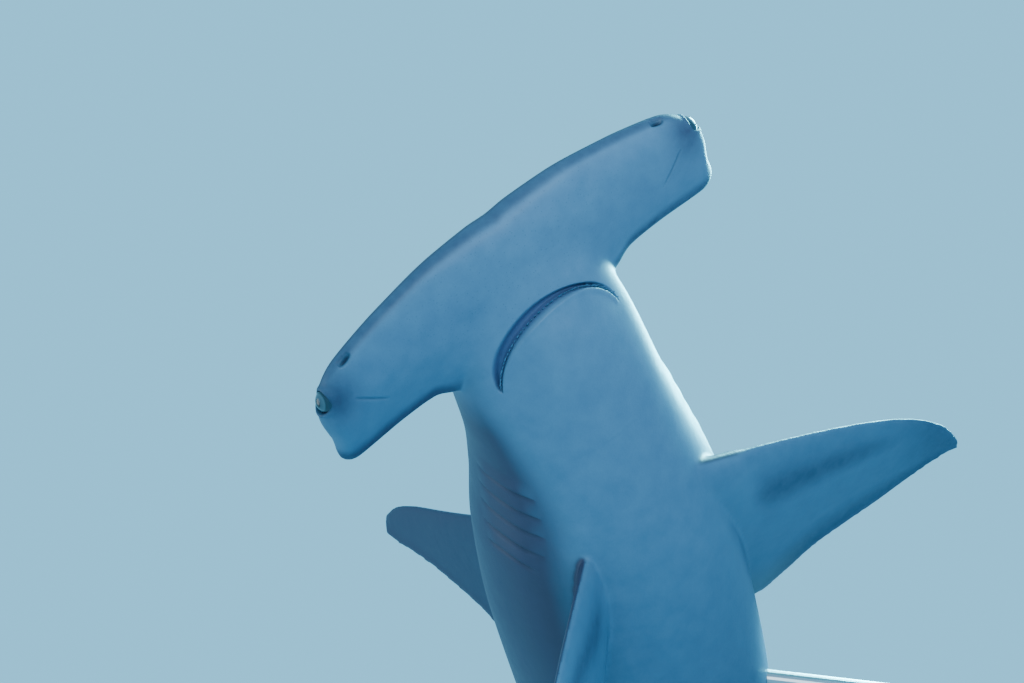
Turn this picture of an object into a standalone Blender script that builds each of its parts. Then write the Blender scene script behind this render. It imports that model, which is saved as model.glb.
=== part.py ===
"""A great hammerhead shark as a still, life-size display model on a plain stand.

The animal is described straight, in its own frame: x runs forward with the front of the
head at 0, y is the animal's left and z its back. Sizes there are shares of the total
length. The spine then bends and twists the body, and the whole animal is banked and
raised above the stand. World units are metres, with +Z up and the origin in the middle
of the underside of the stand's base.
"""
import math

import bmesh
import bpy
from mathutils import Euler, Matrix, Vector

# Driving sizes
LENGTH = 2.80              # snout to tail tip, metres
GAP = 0.0003               # clearance between neighbouring solids
GROWTH_LIMIT = 1.6         # most that a corner is pushed out for it, in clearances
TRUNK_HEIGHT = 1.02        # height of the spine at the pectoral fins

# Attitude of the trunk at the pectoral fins, in degrees
PITCH = 10.6               # nose up
BANK = 39.5                # left side down
YAW = -4.0                 # turns the whole animal about the vertical

# The spine's course: share of length, heading to the left, nose-down pitch, roll in radians
SPINE = (
    (0.00, -0.144, 0.070, -0.061),
    (0.09, -0.144, 0.070, -0.061),
    (0.16, -0.072, 0.039, -0.034),
    (0.22, 0.000, 0.000, 0.000),
    (0.30, 0.000, 0.000, 0.000),
    (0.40, 0.150, 0.000, 0.010),
    (0.52, 0.150, 0.000, 0.020),
    (0.66, 0.000, 0.000, 0.020),
    (0.80, -0.180, 0.000, 0.000),
    (1.00, -0.300, 0.000, 0.000),
)
SPINE_ANCHOR = 0.22        # the station that the attitude is given for
SPINE_STEPS = 200

# The body: share of length, half width, top and bottom of the section
BODY = (
    (0.012, 0.0260, 0.0100, -0.0110),
    (0.030, 0.0390, 0.0200, -0.0165),
    (0.060, 0.0460, 0.0320, -0.0265),
    (0.090, 0.0502, 0.0414, -0.0384),
    (0.125, 0.0517, 0.0512, -0.0502),
    (0.160, 0.0566, 0.0611, -0.0596),
    (0.200, 0.0645, 0.0709, -0.0665),
    (0.260, 0.0680, 0.0773, -0.0714),
    (0.330, 0.0665, 0.0758, -0.0724),
    (0.420, 0.0581, 0.0670, -0.0660),
    (0.500, 0.0463, 0.0552, -0.0537),
    (0.580, 0.0340, 0.0428, -0.0394),
    (0.660, 0.0231, 0.0310, -0.0271),
    (0.735, 0.0148, 0.0217, -0.0182),
)
WIDEST_LEVEL = -0.10       # height of the widest point, as a share of the half depth
BACK_POWER = 1.08          # above 1 narrows the back towards a ridge
BELLY_POWER = 0.90         # below 1 flattens the belly
RING = 36                  # points round the body

# Where the flesh is divided, as shares of length
HEAD_END = 0.122
GILL_END = 0.192
CHEST_END = 0.360
LOIN_END = 0.580
STEM_END = 0.735
TRUNK_STATIONS = 14        # sections of each length of the trunk
TAIL_STEM_STATIONS = 10

# The hammer of the head
HAMMER_HALF = 0.1190       # half width
HAMMER_FRONT = (           # lateral place, how far the front margin lies back
    (0.000, 0.0028),
    (0.010, 0.0016),
    (0.033, 0.0020),
    (0.066, 0.0067),
    (0.092, 0.0127),
    (0.119, 0.0217),
)
HAMMER_REAR = (            # lateral place, how far the rear margin lies back
    (0.000, 0.0840),
    (0.050, 0.0795),
    (0.063, 0.0725),
    (0.085, 0.0712),
    (0.105, 0.0718),
    (0.119, 0.0710),
)
FRONT_CORNER = 0.020       # radius of the rounded front corner
REAR_CORNER = 0.009        # radius of the rounded rear corner
TIP_DENT = 0.0022          # hollow of the outer margin behind the eye
DENT_ALONG = (0.52, 0.30)  # its middle and reach, as shares of the margin
DENT_INWARD = 0.006        # how far in from the margin it is felt
HAMMER_THICK = ((0.0, 0.0300), (0.05, 0.0240), (0.10, 0.0195), (0.119, 0.0180))
HAMMER_LEVEL = -0.0035     # height of its middle plane
HAMMER_DROOP = 0.0030      # how far the tips lie below the middle
HAMMER_BLUNT = 0.80        # below 1 blunts the front margin
HAMMER_TAPER = (0.62, 2.2)  # how much the rear margin thins, and how late
TIP_EDGE = 0.08            # share of the thickness that is left at the outer tips
TIP_CROWDING = 0.72        # below 1 crowds the sections towards the tips
HAMMER_STATIONS = 30
HAMMER_RING = 26
HEAD_CORE = (0.012, 0.020, 0.030, 0.045, 0.060, 0.075, 0.090, 0.105, 0.122, 0.140)
HEAD_VOXEL = 0.0062        # metres
HEAD_ROUNDS = 6            # rounds of smoothing
HEAD_SHARE = 0.11          # share of triangles kept after smoothing

# Eyes, nostrils and mouth
EYE_RADIUS = 0.0066
EYE_BACK = 0.0310
EYE_OUT = 0.1100
EYE_TURN = 24.0            # degrees that the eye looks forward of straight out
EYE_SEGMENTS = (14, 10)
LID_RADIUS = 0.0015
LID_STEPS = 16
LID_SIDES = 6
LID_PLACE = 0.50           # how far out the lids lie, in eye radii
LID_REACH = 0.92           # radius of the ring of lids, in eye radii
NOSTRIL = (0.0145, 0.0950, 0.0060)      # back, out, half length
NOSTRIL_SIZE = (0.0013, 0.0030)         # half width and depth
NOSTRIL_LEVEL = -0.0080    # below the tips' middle plane
NOSTRIL_STEP = 0.005       # lateral step over which the front margin's slope is taken
MOUTH_FRONT = 0.0505
MOUTH_CORNER = 0.0800
MOUTH_HALF = 0.0375
MOUTH_POWER = 1.8          # how squarely the jaw's arch turns
MOUTH_SLOT = 0.0028        # half width of the opening
MOUTH_DEPTH = 0.0080
MOUTH_STEPS = 21
LIP_RADIUS = 0.0024
LIP_SHIFT = 0.0030         # how far each lip lies from the middle of the opening
TUBE_SIDES = 8
TUBE_END = (0.35, 3)       # width left at a tube's end, and the steps it grows over
TEETH = 22
TOOTH_REACH = 0.9          # share of the arch that carries teeth
TOOTH_LENGTH = 0.0034
TOOTH_WIDTH = 0.0017
TOOTH_POINT = 0.15         # width left at a tooth's tip
TOOTH_ROOT = (1.5, 0.0006)  # how far the roots lie forward, in slot widths, and up
TOOTH_LEAN = 1.4           # how far back the tips lean, in slot widths
TOOTH_DEPTH = 0.6          # thickness of a tooth, as a share of its width
TOOTH_SIZES = (0.75, 0.25, 0.08, 2.3)   # least size, growth midway, unevenness and its beat
ARCH_STEP = 0.02           # step along the arch over which its direction is taken

# Gills: five flaps on each side
GILL_PLACES = (0.140, 0.152, 0.164, 0.176, 0.1865)
GILL_LEVEL = -0.012
GILL_HALF = (0.021, 0.023, 0.024, 0.023, 0.019)
GILL_RAISE = 0.0018
GILL_SINK = 0.0022
GILL_STEP = 0.0011
GILL_FLAP = 0.008          # how far forward of its slit a flap starts to rise

# Fins, each as rows of height above the root, front edge and rear edge along the body
DORSAL_PLAN = (
    (-0.0257, -0.0051, 0.1069),
    (0.0000, 0.0000, 0.1131),
    (0.0062, 0.0062, 0.1501),
    (0.0164, 0.0164, 0.1429),
    (0.0350, 0.0319, 0.1326),
    (0.0709, 0.0545, 0.1259),
    (0.1121, 0.0771, 0.1275),
    (0.1480, 0.0956, 0.1321),
    (0.1706, 0.1100, 0.1367),
    (0.1835, 0.1239, 0.1378),
)
PECTORAL_PLAN = (
    (-0.0240, -0.0220, 0.0670),
    (0.0000, -0.0150, 0.0742),
    (0.0067, -0.0130, 0.1050),
    (0.0144, -0.0110, 0.1130),
    (0.0227, -0.0085, 0.1138),
    (0.0402, -0.0035, 0.1066),
    (0.0597, 0.0025, 0.0958),
    (0.0793, 0.0090, 0.0898),
    (0.1030, 0.0185, 0.0836),
    (0.1215, 0.0285, 0.0775),
    (0.1421, 0.0448, 0.0721),
    (0.1524, 0.0582, 0.0711),
    (0.1566, 0.0659, 0.0716),
)
PELVIC_PLAN = (
    (-0.014, -0.002, 0.040),
    (0.000, 0.000, 0.043),
    (0.004, 0.002, 0.062),
    (0.009, 0.005, 0.068),
    (0.020, 0.012, 0.055),
    (0.034, 0.022, 0.0475),
    (0.046, 0.032, 0.0470),
    (0.052, 0.0390, 0.0455),
)
SECOND_DORSAL_PLAN = (
    (-0.010, -0.002, 0.042),
    (0.000, 0.000, 0.045),
    (0.003, 0.003, 0.078),
    (0.007, 0.008, 0.070),
    (0.018, 0.019, 0.052),
    (0.034, 0.032, 0.0485),
    (0.046, 0.043, 0.0520),
    (0.051, 0.0490, 0.0535),
)
ANAL_PLAN = (
    (-0.010, -0.002, 0.054),
    (0.000, 0.000, 0.058),
    (0.003, 0.003, 0.086),
    (0.007, 0.007, 0.078),
    (0.016, 0.016, 0.057),
    (0.030, 0.028, 0.0475),
    (0.042, 0.039, 0.0480),
    (0.048, 0.0460, 0.0505),
)
FINS = {                   # see make_fin for the columns
    "first_dorsal_fin": (DORSAL_PLAN, 0.0130, (-0.247, 0.0, 0.0765), 0.0, 0.0,
                         (-4.3, 4.2, 5.4), 0.043, 0.290),
    "pectoral_fin_left": (PECTORAL_PLAN, 0.0120, (-0.196, 0.054, -0.044), -125.1, 0.0,
                          (26.8, 14.3, 3.8), 0.029, 0.225),
    "pectoral_fin_right": (PECTORAL_PLAN, 0.0120, (-0.196, -0.048, -0.051), 125.1, 0.0,
                           (5.8, -9.5, 20.0), 0.029, 0.225),
    "pelvic_fin_left": (PELVIC_PLAN, 0.0075, (-0.470, 0.030, -0.050), -138.0, 0.0,
                        (0.0, 0.0, 0.0), 0.0, 0.490),
    "pelvic_fin_right": (PELVIC_PLAN, 0.0075, (-0.470, -0.030, -0.050), 138.0, 0.0,
                         (0.0, 0.0, 0.0), 0.0, 0.490),
    "second_dorsal_fin": (SECOND_DORSAL_PLAN, 0.0065, (-0.612, 0.0, 0.0365), 0.0, -6.0,
                          (0.0, 0.0, 0.0), 0.0, 0.640),
    "anal_fin": (ANAL_PLAN, 0.0065, (-0.600, 0.0, -0.0350), 180.0, -6.0,
                 (0.0, 0.0, 0.0), 0.0, 0.630),
}
FIN_SIDE = 6               # points along each face of a fin's section
FIN_STATIONS = 10
FIN_EDGE = 0.0004          # half thickness of a fin's rear edge, share of length
FIN_FLARE = 0.006          # how far up the root's thickening reaches
FIN_THINNING = 0.80        # how much thinner the blade gets towards its tip
FIN_TIP = (0.25, 0.05)     # thickness left at the tip, and the share of height it grows over

# The tail fin: height, front edge and rear edge behind the snout
TAIL_PLAN = (
    (-0.120, 0.8330, 0.8370),
    (-0.113, 0.8240, 0.8350),
    (-0.090, 0.8020, 0.8270),
    (-0.060, 0.7760, 0.8170),
    (-0.035, 0.7560, 0.8105),
    (-0.017, 0.7400, 0.8085),
    (0.000, 0.7360, 0.8095),
    (0.020, 0.7360, 0.8150),
    (0.045, 0.7700, 0.8330),
    (0.080, 0.8190, 0.8660),
    (0.115, 0.8680, 0.9060),
    (0.140, 0.9040, 0.9400),
    (0.148, 0.9155, 0.9500),
    (0.153, 0.9225, 0.9680),
    (0.160, 0.9330, 0.9800),
    (0.176, 0.9580, 0.9880),
    (0.190, 0.9830, 0.9950),
    (0.195, 0.9930, 0.9985),
)
TAIL_STATIONS = 20
TAIL_HALF = 0.0042         # half thickness of the blade
TAIL_TIP = (0.2, 0.012)    # thickness left at both ends, and the height it grows over
STEM_LINE = (              # share of length, height, half width, half depth
    (0.720, 0.0018, 0.0160, 0.0212),
    (0.745, 0.0030, 0.0135, 0.0180),
    (0.790, 0.0230, 0.0095, 0.0150),
    (0.850, 0.0750, 0.0055, 0.0095),
    (0.910, 0.1280, 0.0030, 0.0055),
)
STEM_STATIONS = 12
STEM_RING = 16

# Stand, metres
BASE_LENGTH = 1.50
BASE_WIDTH = 0.72
BASE_THICK = 0.035
BASE_CORNER = 0.060
BASE_CORNER_STEPS = 6
ROD_RADIUS = 0.016
ROD_FOOT_RADII = (0.045, 0.036)         # below and above
ROD_FOOT_HEIGHT = 0.018
ROD_SIDES = 24
ROD_LIFT = 0.001           # the rod starts this far up inside its foot
ROD_STATIONS = {"stand_rod_front": 0.325, "stand_rod_rear": 0.520}

SHARP_ANGLE = 40.0         # degrees between faces from which an edge is shown sharp
COLLECTION = "hammerhead_shark"


def tl(share):
    """Turns a share of the total length into metres."""
    return share * LENGTH


def curve(rows, at, column):
    """Smooth value of one column of a table of rows that starts with the place."""
    if at <= rows[0][0]:
        return rows[0][column]
    if at >= rows[-1][0]:
        return rows[-1][column]
    slopes = []
    for i in range(len(rows) - 1):
        slopes.append((rows[i + 1][column] - rows[i][column]) / (rows[i + 1][0] - rows[i][0]))
    i = max(k for k in range(len(rows) - 1) if rows[k][0] <= at)
    width = rows[i + 1][0] - rows[i][0]
    t = (at - rows[i][0]) / width
    start = slopes[i] if i == 0 else limited_mean(slopes[i - 1], slopes[i])
    end = slopes[i] if i == len(slopes) - 1 else limited_mean(slopes[i], slopes[i + 1])
    a = 2 * t ** 3 - 3 * t ** 2 + 1
    b = t ** 3 - 2 * t ** 2 + t
    c = -2 * t ** 3 + 3 * t ** 2
    d = t ** 3 - t ** 2
    return a * rows[i][column] + b * width * start + c * rows[i + 1][column] + d * width * end


def limited_mean(first, second):
    """Mean slope that never overshoots the points on either side."""
    if first * second <= 0:
        return 0.0
    return 2 * first * second / (first + second)


def spine_frames():
    """Frames along the spine, from the snout to the tail tip, in the trunk's own frame."""
    frames = []
    place = Vector((0.0, 0.0, 0.0))
    step = LENGTH / SPINE_STEPS
    for i in range(SPINE_STEPS + 1):
        share = i / SPINE_STEPS
        turn = (Matrix.Rotation(curve(SPINE, share, 1), 4, 'Z')
                @ Matrix.Rotation(curve(SPINE, share, 2), 4, 'Y')
                @ Matrix.Rotation(curve(SPINE, share, 3), 4, 'X'))
        if i:
            place = place - turn.to_3x3().col[0] * step
        frames.append(Matrix.Translation(place) @ turn)
    anchor = frames[round(SPINE_ANCHOR * SPINE_STEPS)].inverted()
    return [anchor @ frame for frame in frames]


FRAMES = spine_frames()
POSE = (Matrix.Translation((0.0, 0.0, TRUNK_HEIGHT))
        @ Matrix.Rotation(math.radians(YAW), 4, 'Z')
        @ Matrix.Rotation(math.radians(-PITCH), 4, 'Y')
        @ Matrix.Rotation(math.radians(-BANK), 4, 'X'))


def spine_frame(share):
    """World frame of the body's section at one station."""
    at = min(max(share, 0.0), 1.0) * SPINE_STEPS
    i = min(int(at), SPINE_STEPS - 1)
    return POSE @ FRAMES[i].lerp(FRAMES[i + 1], at - i)


def section(share):
    """One section of the straight body as (y, z) points in metres."""
    half = curve(BODY, share, 1)
    top = curve(BODY, share, 2)
    bottom = curve(BODY, share, 3)
    level = (top + bottom) / 2 + WIDEST_LEVEL * (top - bottom) / 2
    points = []
    for k in range(RING):
        angle = math.tau * k / RING
        side = math.cos(angle)
        rise = math.sin(angle)
        power = BACK_POWER if rise > 0 else BELLY_POWER
        reach = (top - level) if rise > 0 else (level - bottom)
        y = math.copysign(abs(side) ** (power if rise > 0 else 1.0), side) * half
        z = level + math.copysign(abs(rise) ** (1.0 if rise > 0 else power), rise) * reach
        points.append(Vector((0.0, tl(y), tl(z))))
    return points


def gill_offset(share, point):
    """How far the skin stands out or sinks at the gill flaps, in metres."""
    offset = 0.0
    for place, half in zip(GILL_PLACES, GILL_HALF):
        reach = (point.z / LENGTH - GILL_LEVEL) / half
        if abs(reach) >= 1:
            continue
        fade = (1 - reach * reach) ** 0.5
        behind = share - place
        if abs(behind) < 1e-6:
            offset -= tl(GILL_SINK) * fade
        elif -GILL_FLAP < behind < 0:
            offset += tl(GILL_RAISE) * fade * (1 + behind / GILL_FLAP)
    return offset


def loft(rings, alike=False):
    """Closed mesh through rings of points; alike splits both faces of a fin the same way."""
    mesh = bmesh.new()
    rows = [[mesh.verts.new(point) for point in ring] for ring in rings]
    count = len(rings[0])
    for near, far in zip(rows, rows[1:]):
        for k in range(count):
            n = (k + 1) % count
            corners = (near[k], near[n], far[n], far[k])
            if alike and k >= count // 2:
                mesh.faces.new((corners[0], corners[1], corners[3]))
                mesh.faces.new((corners[1], corners[2], corners[3]))
            else:
                mesh.faces.new((corners[0], corners[1], corners[2]))
                mesh.faces.new((corners[0], corners[2], corners[3]))
    mesh.faces.new(list(reversed(rows[0])))
    mesh.faces.new(rows[-1])
    bmesh.ops.recalc_face_normals(mesh, faces=mesh.faces)
    return mesh


def add_object(name, mesh, target):
    """Makes a named object from a bmesh in a collection."""
    data = bpy.data.meshes.new(name)
    mesh.to_mesh(data)
    mesh.free()
    made = bpy.data.objects.new(name, data)
    target.objects.link(made)
    return made


def bake(thing):
    """Replaces an object's mesh by what its modifiers make of it."""
    bpy.context.view_layer.update()
    shown = thing.evaluated_get(bpy.context.evaluated_depsgraph_get())
    data = bpy.data.meshes.new_from_object(shown)
    thing.modifiers.clear()
    thing.data = data


def combine(thing, others, operation):
    """Joins other objects to a thing, or cuts them out of it, and removes them."""
    for other in others:
        step = thing.modifiers.new("combine", 'BOOLEAN')
        step.operation = operation
        step.solver = 'EXACT'
        step.object = other
    bake(thing)
    for other in others:
        bpy.data.objects.remove(other)
    keep_largest(thing)


def keep_largest(thing):
    """Leaves only the largest closed surface of a mesh."""
    mesh = bmesh.new()
    mesh.from_mesh(thing.data)
    bmesh.ops.remove_doubles(mesh, verts=mesh.verts, dist=1e-6)
    unseen = set(mesh.verts)
    groups = []
    while unseen:
        stack = [unseen.pop()]
        group = []
        while stack:
            vert = stack.pop()
            group.append(vert)
            for edge in vert.link_edges:
                other = edge.other_vert(vert)
                if other in unseen:
                    unseen.discard(other)
                    stack.append(other)
        groups.append(group)
    groups.sort(key=len, reverse=True)
    for group in groups[1:]:
        bmesh.ops.delete(mesh, geom=group, context='VERTS')
    mesh.to_mesh(thing.data)
    mesh.free()


def grown_copy(thing, by=GAP):
    """A copy of a solid whose surface lies a little further out."""
    mesh = bmesh.new()
    mesh.from_mesh(thing.data)
    mesh.normal_update()
    moves = [vert.normal * by * min(vert.calc_shell_factor(), GROWTH_LIMIT)
             for vert in mesh.verts]
    for vert, move in zip(mesh.verts, moves):
        vert.co += move
    return add_object("grown_" + thing.name, mesh, CUTTERS)


def cut_clear(thing, neighbours):
    """Trims a thing so that it meets its neighbours with the clearance between them."""
    combine(thing, [grown_copy(other) for other in neighbours], 'DIFFERENCE')


def body_piece(name, places, gills=False):
    """A length of the body between two stations, with flat ends."""
    rings = []
    for i, share in enumerate(places):
        inset = GAP / 2 / LENGTH * ((i == 0) - (i == len(places) - 1))
        ring = section(share)
        if gills:
            ring = [point + outward(point) * gill_offset(share, point) for point in ring]
        rings.append([spine_frame(share + inset) @ point for point in ring])
    return add_object(name, loft(rings), PARTS)


def even_stations(start, end, count):
    """Evenly spaced stations."""
    return [start + (end - start) * i / count for i in range(count + 1)]


def gill_stations(start, end):
    """Stations of the gill region, with close ones round every slit."""
    places = {start, end}
    for place in GILL_PLACES:
        for nearby in (GILL_FLAP, GILL_FLAP / 2, GILL_STEP, 0.0, -GILL_STEP):
            places.add(place - nearby)
    return sorted(p for p in places if start <= p <= end)


def outward(point):
    """Unit direction away from the body's axis at a point of a section."""
    return Vector((0.0, point.y, point.z)).normalized()


def hammer_section(y):
    """One fore-and-aft section of the hammer at a lateral place, as straight-frame points."""
    side = abs(y)
    front = curve(HAMMER_FRONT, side, 1)
    rear = curve(HAMMER_REAR, side, 1)
    thick = curve(HAMMER_THICK, side, 1) / 2
    left = max(side - (HAMMER_HALF - FRONT_CORNER), 0.0) / FRONT_CORNER
    front += FRONT_CORNER * (1 - math.sqrt(max(1 - left * left, 0.0)))
    left = max(side - (HAMMER_HALF - REAR_CORNER), 0.0) / REAR_CORNER
    rear -= REAR_CORNER * (1 - math.sqrt(max(1 - left * left, 0.0)))
    left = max(side - (HAMMER_HALF - thick), 0.0) / thick
    thick *= TIP_EDGE + (1 - TIP_EDGE) * math.sqrt(max(1 - left * left, 0.0))
    level = HAMMER_LEVEL - HAMMER_DROOP * (side / HAMMER_HALF) ** 2
    points = []
    for k in range(HAMMER_RING):
        angle = math.tau * k / HAMMER_RING
        along = (1 - math.cos(angle)) / 2
        bulge = math.copysign(abs(math.sin(angle)) ** HAMMER_BLUNT, math.sin(angle))
        taper = 1 - HAMMER_TAPER[0] * along ** HAMMER_TAPER[1]
        dent = TIP_DENT * bump(along, *DENT_ALONG) * bump(side, HAMMER_HALF, DENT_INWARD)
        x = -(front + (rear - front) * along)
        z = level + thick * bulge * taper
        points.append(Vector((tl(x), tl(y - math.copysign(dent, y)), tl(z))))
    return points


def bump(value, middle, reach):
    """Smooth bump of height 1 round a middle."""
    return math.exp(-((value - middle) / reach) ** 2)


def hammer():
    """The cross-piece of the head."""
    rings = []
    for i in range(HAMMER_STATIONS + 1):
        turn = math.pi * i / HAMMER_STATIONS
        y = -HAMMER_HALF * math.copysign(abs(math.cos(turn)) ** TIP_CROWDING, math.cos(turn))
        rings.append(hammer_section(y))
    return add_object("hammer", loft(rings), CUTTERS)


def head_core():
    """The middle of the head and throat, from the snout to just past the head's end."""
    rings = [[Vector((-tl(s), p.y, p.z)) for p in section(s)] for s in HEAD_CORE]
    return add_object("head_core", loft(rings), CUTTERS)


def mouth_point(t, inset=0.0):
    """Place on the jaw's arch, t from -1 at the right corner to 1 at the left."""
    y = MOUTH_HALF * math.sin(t * math.pi / 2)
    bow = abs(math.cos(t * math.pi / 2)) ** (2 / MOUTH_POWER)
    back = MOUTH_CORNER - (MOUTH_CORNER - MOUTH_FRONT) * bow
    return Vector((-tl(back - inset), tl(y), tl(throat_level(back, y))))


def throat_level(back, y):
    """Height of the underside of the head at a place, as a share of length."""
    half = curve(BODY, back, 1)
    top = curve(BODY, back, 2)
    bottom = curve(BODY, back, 3)
    level = (top + bottom) / 2 + WIDEST_LEVEL * (top - bottom) / 2
    rise = math.sqrt(max(1 - (y / half) ** 2, 0.0))
    return level - (level - bottom) * rise ** BELLY_POWER


def tube(name, path, size):
    """A tube along a path of points, tapered at its ends; size gives both half widths."""
    rings = []
    for i, point in enumerate(path):
        ahead = path[min(i + 1, len(path) - 1)] - path[max(i - 1, 0)]
        ahead.normalize()
        side = ahead.cross(Vector((0.0, 0.0, 1.0))).normalized()
        end = min(1.0, TUBE_END[0] + min(i, len(path) - 1 - i) / TUBE_END[1])
        ring = []
        for k in range(TUBE_SIDES):
            angle = math.tau * k / TUBE_SIDES
            ring.append(point + side * math.cos(angle) * size[0] * end
                        + Vector((0.0, 0.0, 1.0)) * math.sin(angle) * size[1] * end)
        rings.append(ring)
    return add_object(name, loft(rings), CUTTERS)


def mouth_path(inset=0.0):
    """Points along the jaw's arch."""
    return [mouth_point(-1 + 2 * i / (MOUTH_STEPS - 1), inset) for i in range(MOUTH_STEPS)]


def tooth(index):
    """One tooth of the upper jaw, a small leaning pyramid rooted in the front wall."""
    t = TOOTH_REACH * (2 * index / (TEETH - 1) - 1)
    tip = mouth_point(t)
    ahead = (mouth_point(t + ARCH_STEP) - mouth_point(t - ARCH_STEP)).normalized()
    inward = ahead.cross(Vector((0.0, 0.0, 1.0))).normalized()
    if inward.x > 0:
        inward = -inward
    least, growth, uneven, beat = TOOTH_SIZES
    size = least + growth * math.cos(t * math.pi / 2) + uneven * math.sin(index * beat)
    root = tip - inward * tl(MOUTH_SLOT) * TOOTH_ROOT[0] + Vector((0.0, 0.0, tl(TOOTH_ROOT[1])))
    lean = inward * tl(MOUTH_SLOT) * TOOTH_LEAN - Vector((0.0, 0.0, tl(TOOTH_LENGTH)))
    rings = []
    for share in (0.0, 1.0):
        centre = root + lean * share * size
        spread = tl(TOOTH_WIDTH) * size * (1 - (1 - TOOTH_POINT) * share)
        rings.append([centre + ahead * spread * a + inward * spread * b * TOOTH_DEPTH
                      for a, b in ((-1, -1), (1, -1), (1, 1), (-1, 1))])
    return add_object("tooth", loft(rings), CUTTERS)


def eye_place(side):
    """Centre of an eyeball and the way it looks, in the straight frame."""
    turn = math.radians(EYE_TURN)
    look = Vector((math.sin(turn), side * math.cos(turn), 0.0))
    level = HAMMER_LEVEL - HAMMER_DROOP
    return Vector((-tl(EYE_BACK), side * tl(EYE_OUT), tl(level))), look


def eyeball(name, side):
    """One round eye."""
    mesh = bmesh.new()
    bmesh.ops.create_uvsphere(mesh, u_segments=EYE_SEGMENTS[0], v_segments=EYE_SEGMENTS[1],
                              radius=tl(EYE_RADIUS))
    bmesh.ops.translate(mesh, vec=eye_place(side)[0], verts=mesh.verts)
    return add_object(name, mesh, PARTS)


def lid_ring(side):
    """The lids as a raised ring round one eye."""
    centre, look = eye_place(side)
    turn = look.to_track_quat('Z', 'Y').to_matrix()
    rings = []
    for i in range(LID_STEPS):
        angle = math.tau * i / LID_STEPS
        out = turn @ Vector((math.cos(angle), math.sin(angle), 0.0))
        middle = centre + (look * LID_PLACE + out * LID_REACH) * tl(EYE_RADIUS)
        ring = []
        for k in range(LID_SIDES):
            bend = math.tau * k / LID_SIDES
            ring.append(middle + (out * math.cos(bend) + look * math.sin(bend)) * tl(LID_RADIUS))
        rings.append(ring)
    mesh = bmesh.new()
    rows = [[mesh.verts.new(point) for point in ring] for ring in rings]
    for near, far in zip(rows, rows[1:] + rows[:1]):
        for k in range(LID_SIDES):
            n = (k + 1) % LID_SIDES
            mesh.faces.new((near[k], near[n], far[n], far[k]))
    bmesh.ops.recalc_face_normals(mesh, faces=mesh.faces)
    return add_object("lids", mesh, CUTTERS)


def nostril_cutter(side):
    """A slanting slot in the underside of the front margin."""
    back, out, half = NOSTRIL
    level = HAMMER_LEVEL - HAMMER_DROOP + NOSTRIL_LEVEL
    slope = (curve(HAMMER_FRONT, out + NOSTRIL_STEP, 1)
             - curve(HAMMER_FRONT, out - NOSTRIL_STEP, 1)) / (2 * NOSTRIL_STEP)
    along = Vector((-slope, side, 0.0)).normalized()
    middle = Vector((-tl(back), side * tl(out), tl(level)))
    path = [middle + along * tl(half) * (i / 4 - 1) for i in range(9)]
    return tube("nostril", path, [tl(value) for value in NOSTRIL_SIZE])


def to_world(thing, share):
    """Moves a straight-frame mesh rigidly to one station of the posed spine."""
    thing.data.transform(spine_frame(share) @ Matrix.Translation((tl(share), 0.0, 0.0)))


def make_head():
    """The head with its hammer, mouth, nostrils and lids, and both eyes."""
    eyes = [eyeball("eye_left", 1), eyeball("eye_right", -1)]
    head = hammer()
    head.name = "head"
    PARTS.objects.link(head)
    CUTTERS.objects.unlink(head)
    combine(head, [head_core()], 'UNION')
    blend = head.modifiers.new("blend", 'REMESH')
    blend.mode = 'VOXEL'
    blend.voxel_size = HEAD_VOXEL
    soften = head.modifiers.new("soften", 'SMOOTH')
    soften.iterations = HEAD_ROUNDS
    soften.factor = 0.5
    thin = head.modifiers.new("thin", 'DECIMATE')
    thin.ratio = HEAD_SHARE
    bake(head)
    lips = [tube("lip", mouth_path(shift), (tl(LIP_RADIUS), tl(LIP_RADIUS)))
            for shift in (LIP_SHIFT, -LIP_SHIFT)]
    combine(head, lips + [lid_ring(1), lid_ring(-1)], 'UNION')
    slot = tube("mouth", mouth_path(), (tl(MOUTH_SLOT), tl(MOUTH_DEPTH)))
    combine(head, [slot, nostril_cutter(1), nostril_cutter(-1)], 'DIFFERENCE')
    combine(head, [tooth(index) for index in range(TEETH)], 'UNION')
    cut_clear(head, eyes)
    back = bmesh.new()
    bmesh.ops.create_cube(back, size=1.0)
    bmesh.ops.translate(back, vec=(-tl(HEAD_END) + GAP / 2 - 0.5, 0.0, 0.0), verts=back.verts)
    combine(head, [add_object("head_back", back, CUTTERS)], 'DIFFERENCE')
    for thing in [head] + eyes:
        for vert in thing.data.vertices:
            vert.co = bent(vert.co / LENGTH)
    return head, eyes


def foil(along):
    """Half thickness of a fin's section along its chord, 1 at its thickest."""
    root = 0.2969 * math.sqrt(along)
    rest = -0.1260 * along - 0.3516 * along ** 2 + 0.2843 * along ** 3 - 0.1015 * along ** 4
    return (root + rest) / 0.1


def fin_rings(plan, thick):
    """Rings of a fin in its own frame: x backward, y across, z away from the body."""
    rings = []
    low = plan[0][0]
    high = plan[-1][0]
    heights = sorted({row[0] for row in plan}
                     | {low + (high - low) * i / FIN_STATIONS for i in range(FIN_STATIONS + 1)})
    for height in heights:
        front = curve(plan, height, 1)
        rear = curve(plan, height, 2)
        share = min(max(height / high, 0.0), 1.0)
        flare = FIN_FLARE * math.exp(-max(height, 0.0) / FIN_FLARE) / 3
        half = thick * (1 - FIN_THINNING * share) / 2 + flare
        half *= min(1.0, FIN_TIP[0] + (high - height) / (FIN_TIP[1] * high))
        rings.append(blade_ring(front, rear, half, height))
    return rings


def blade_ring(front, rear, half, height):
    """One section of a fin, in shares of length, backward from the front and round again."""
    ring = []
    for k in range(2 * FIN_SIDE):
        side = 1 if k < FIN_SIDE else -1
        step = k if side > 0 else 2 * FIN_SIDE - k
        along = (1 - math.cos(math.pi * step / FIN_SIDE)) / 2
        reach = 0.0 if step in (0, FIN_SIDE) else max(half * foil(along), FIN_EDGE)
        ring.append(Vector((-(front + (rear - front) * along), side * reach, height)))
    return ring


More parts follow.
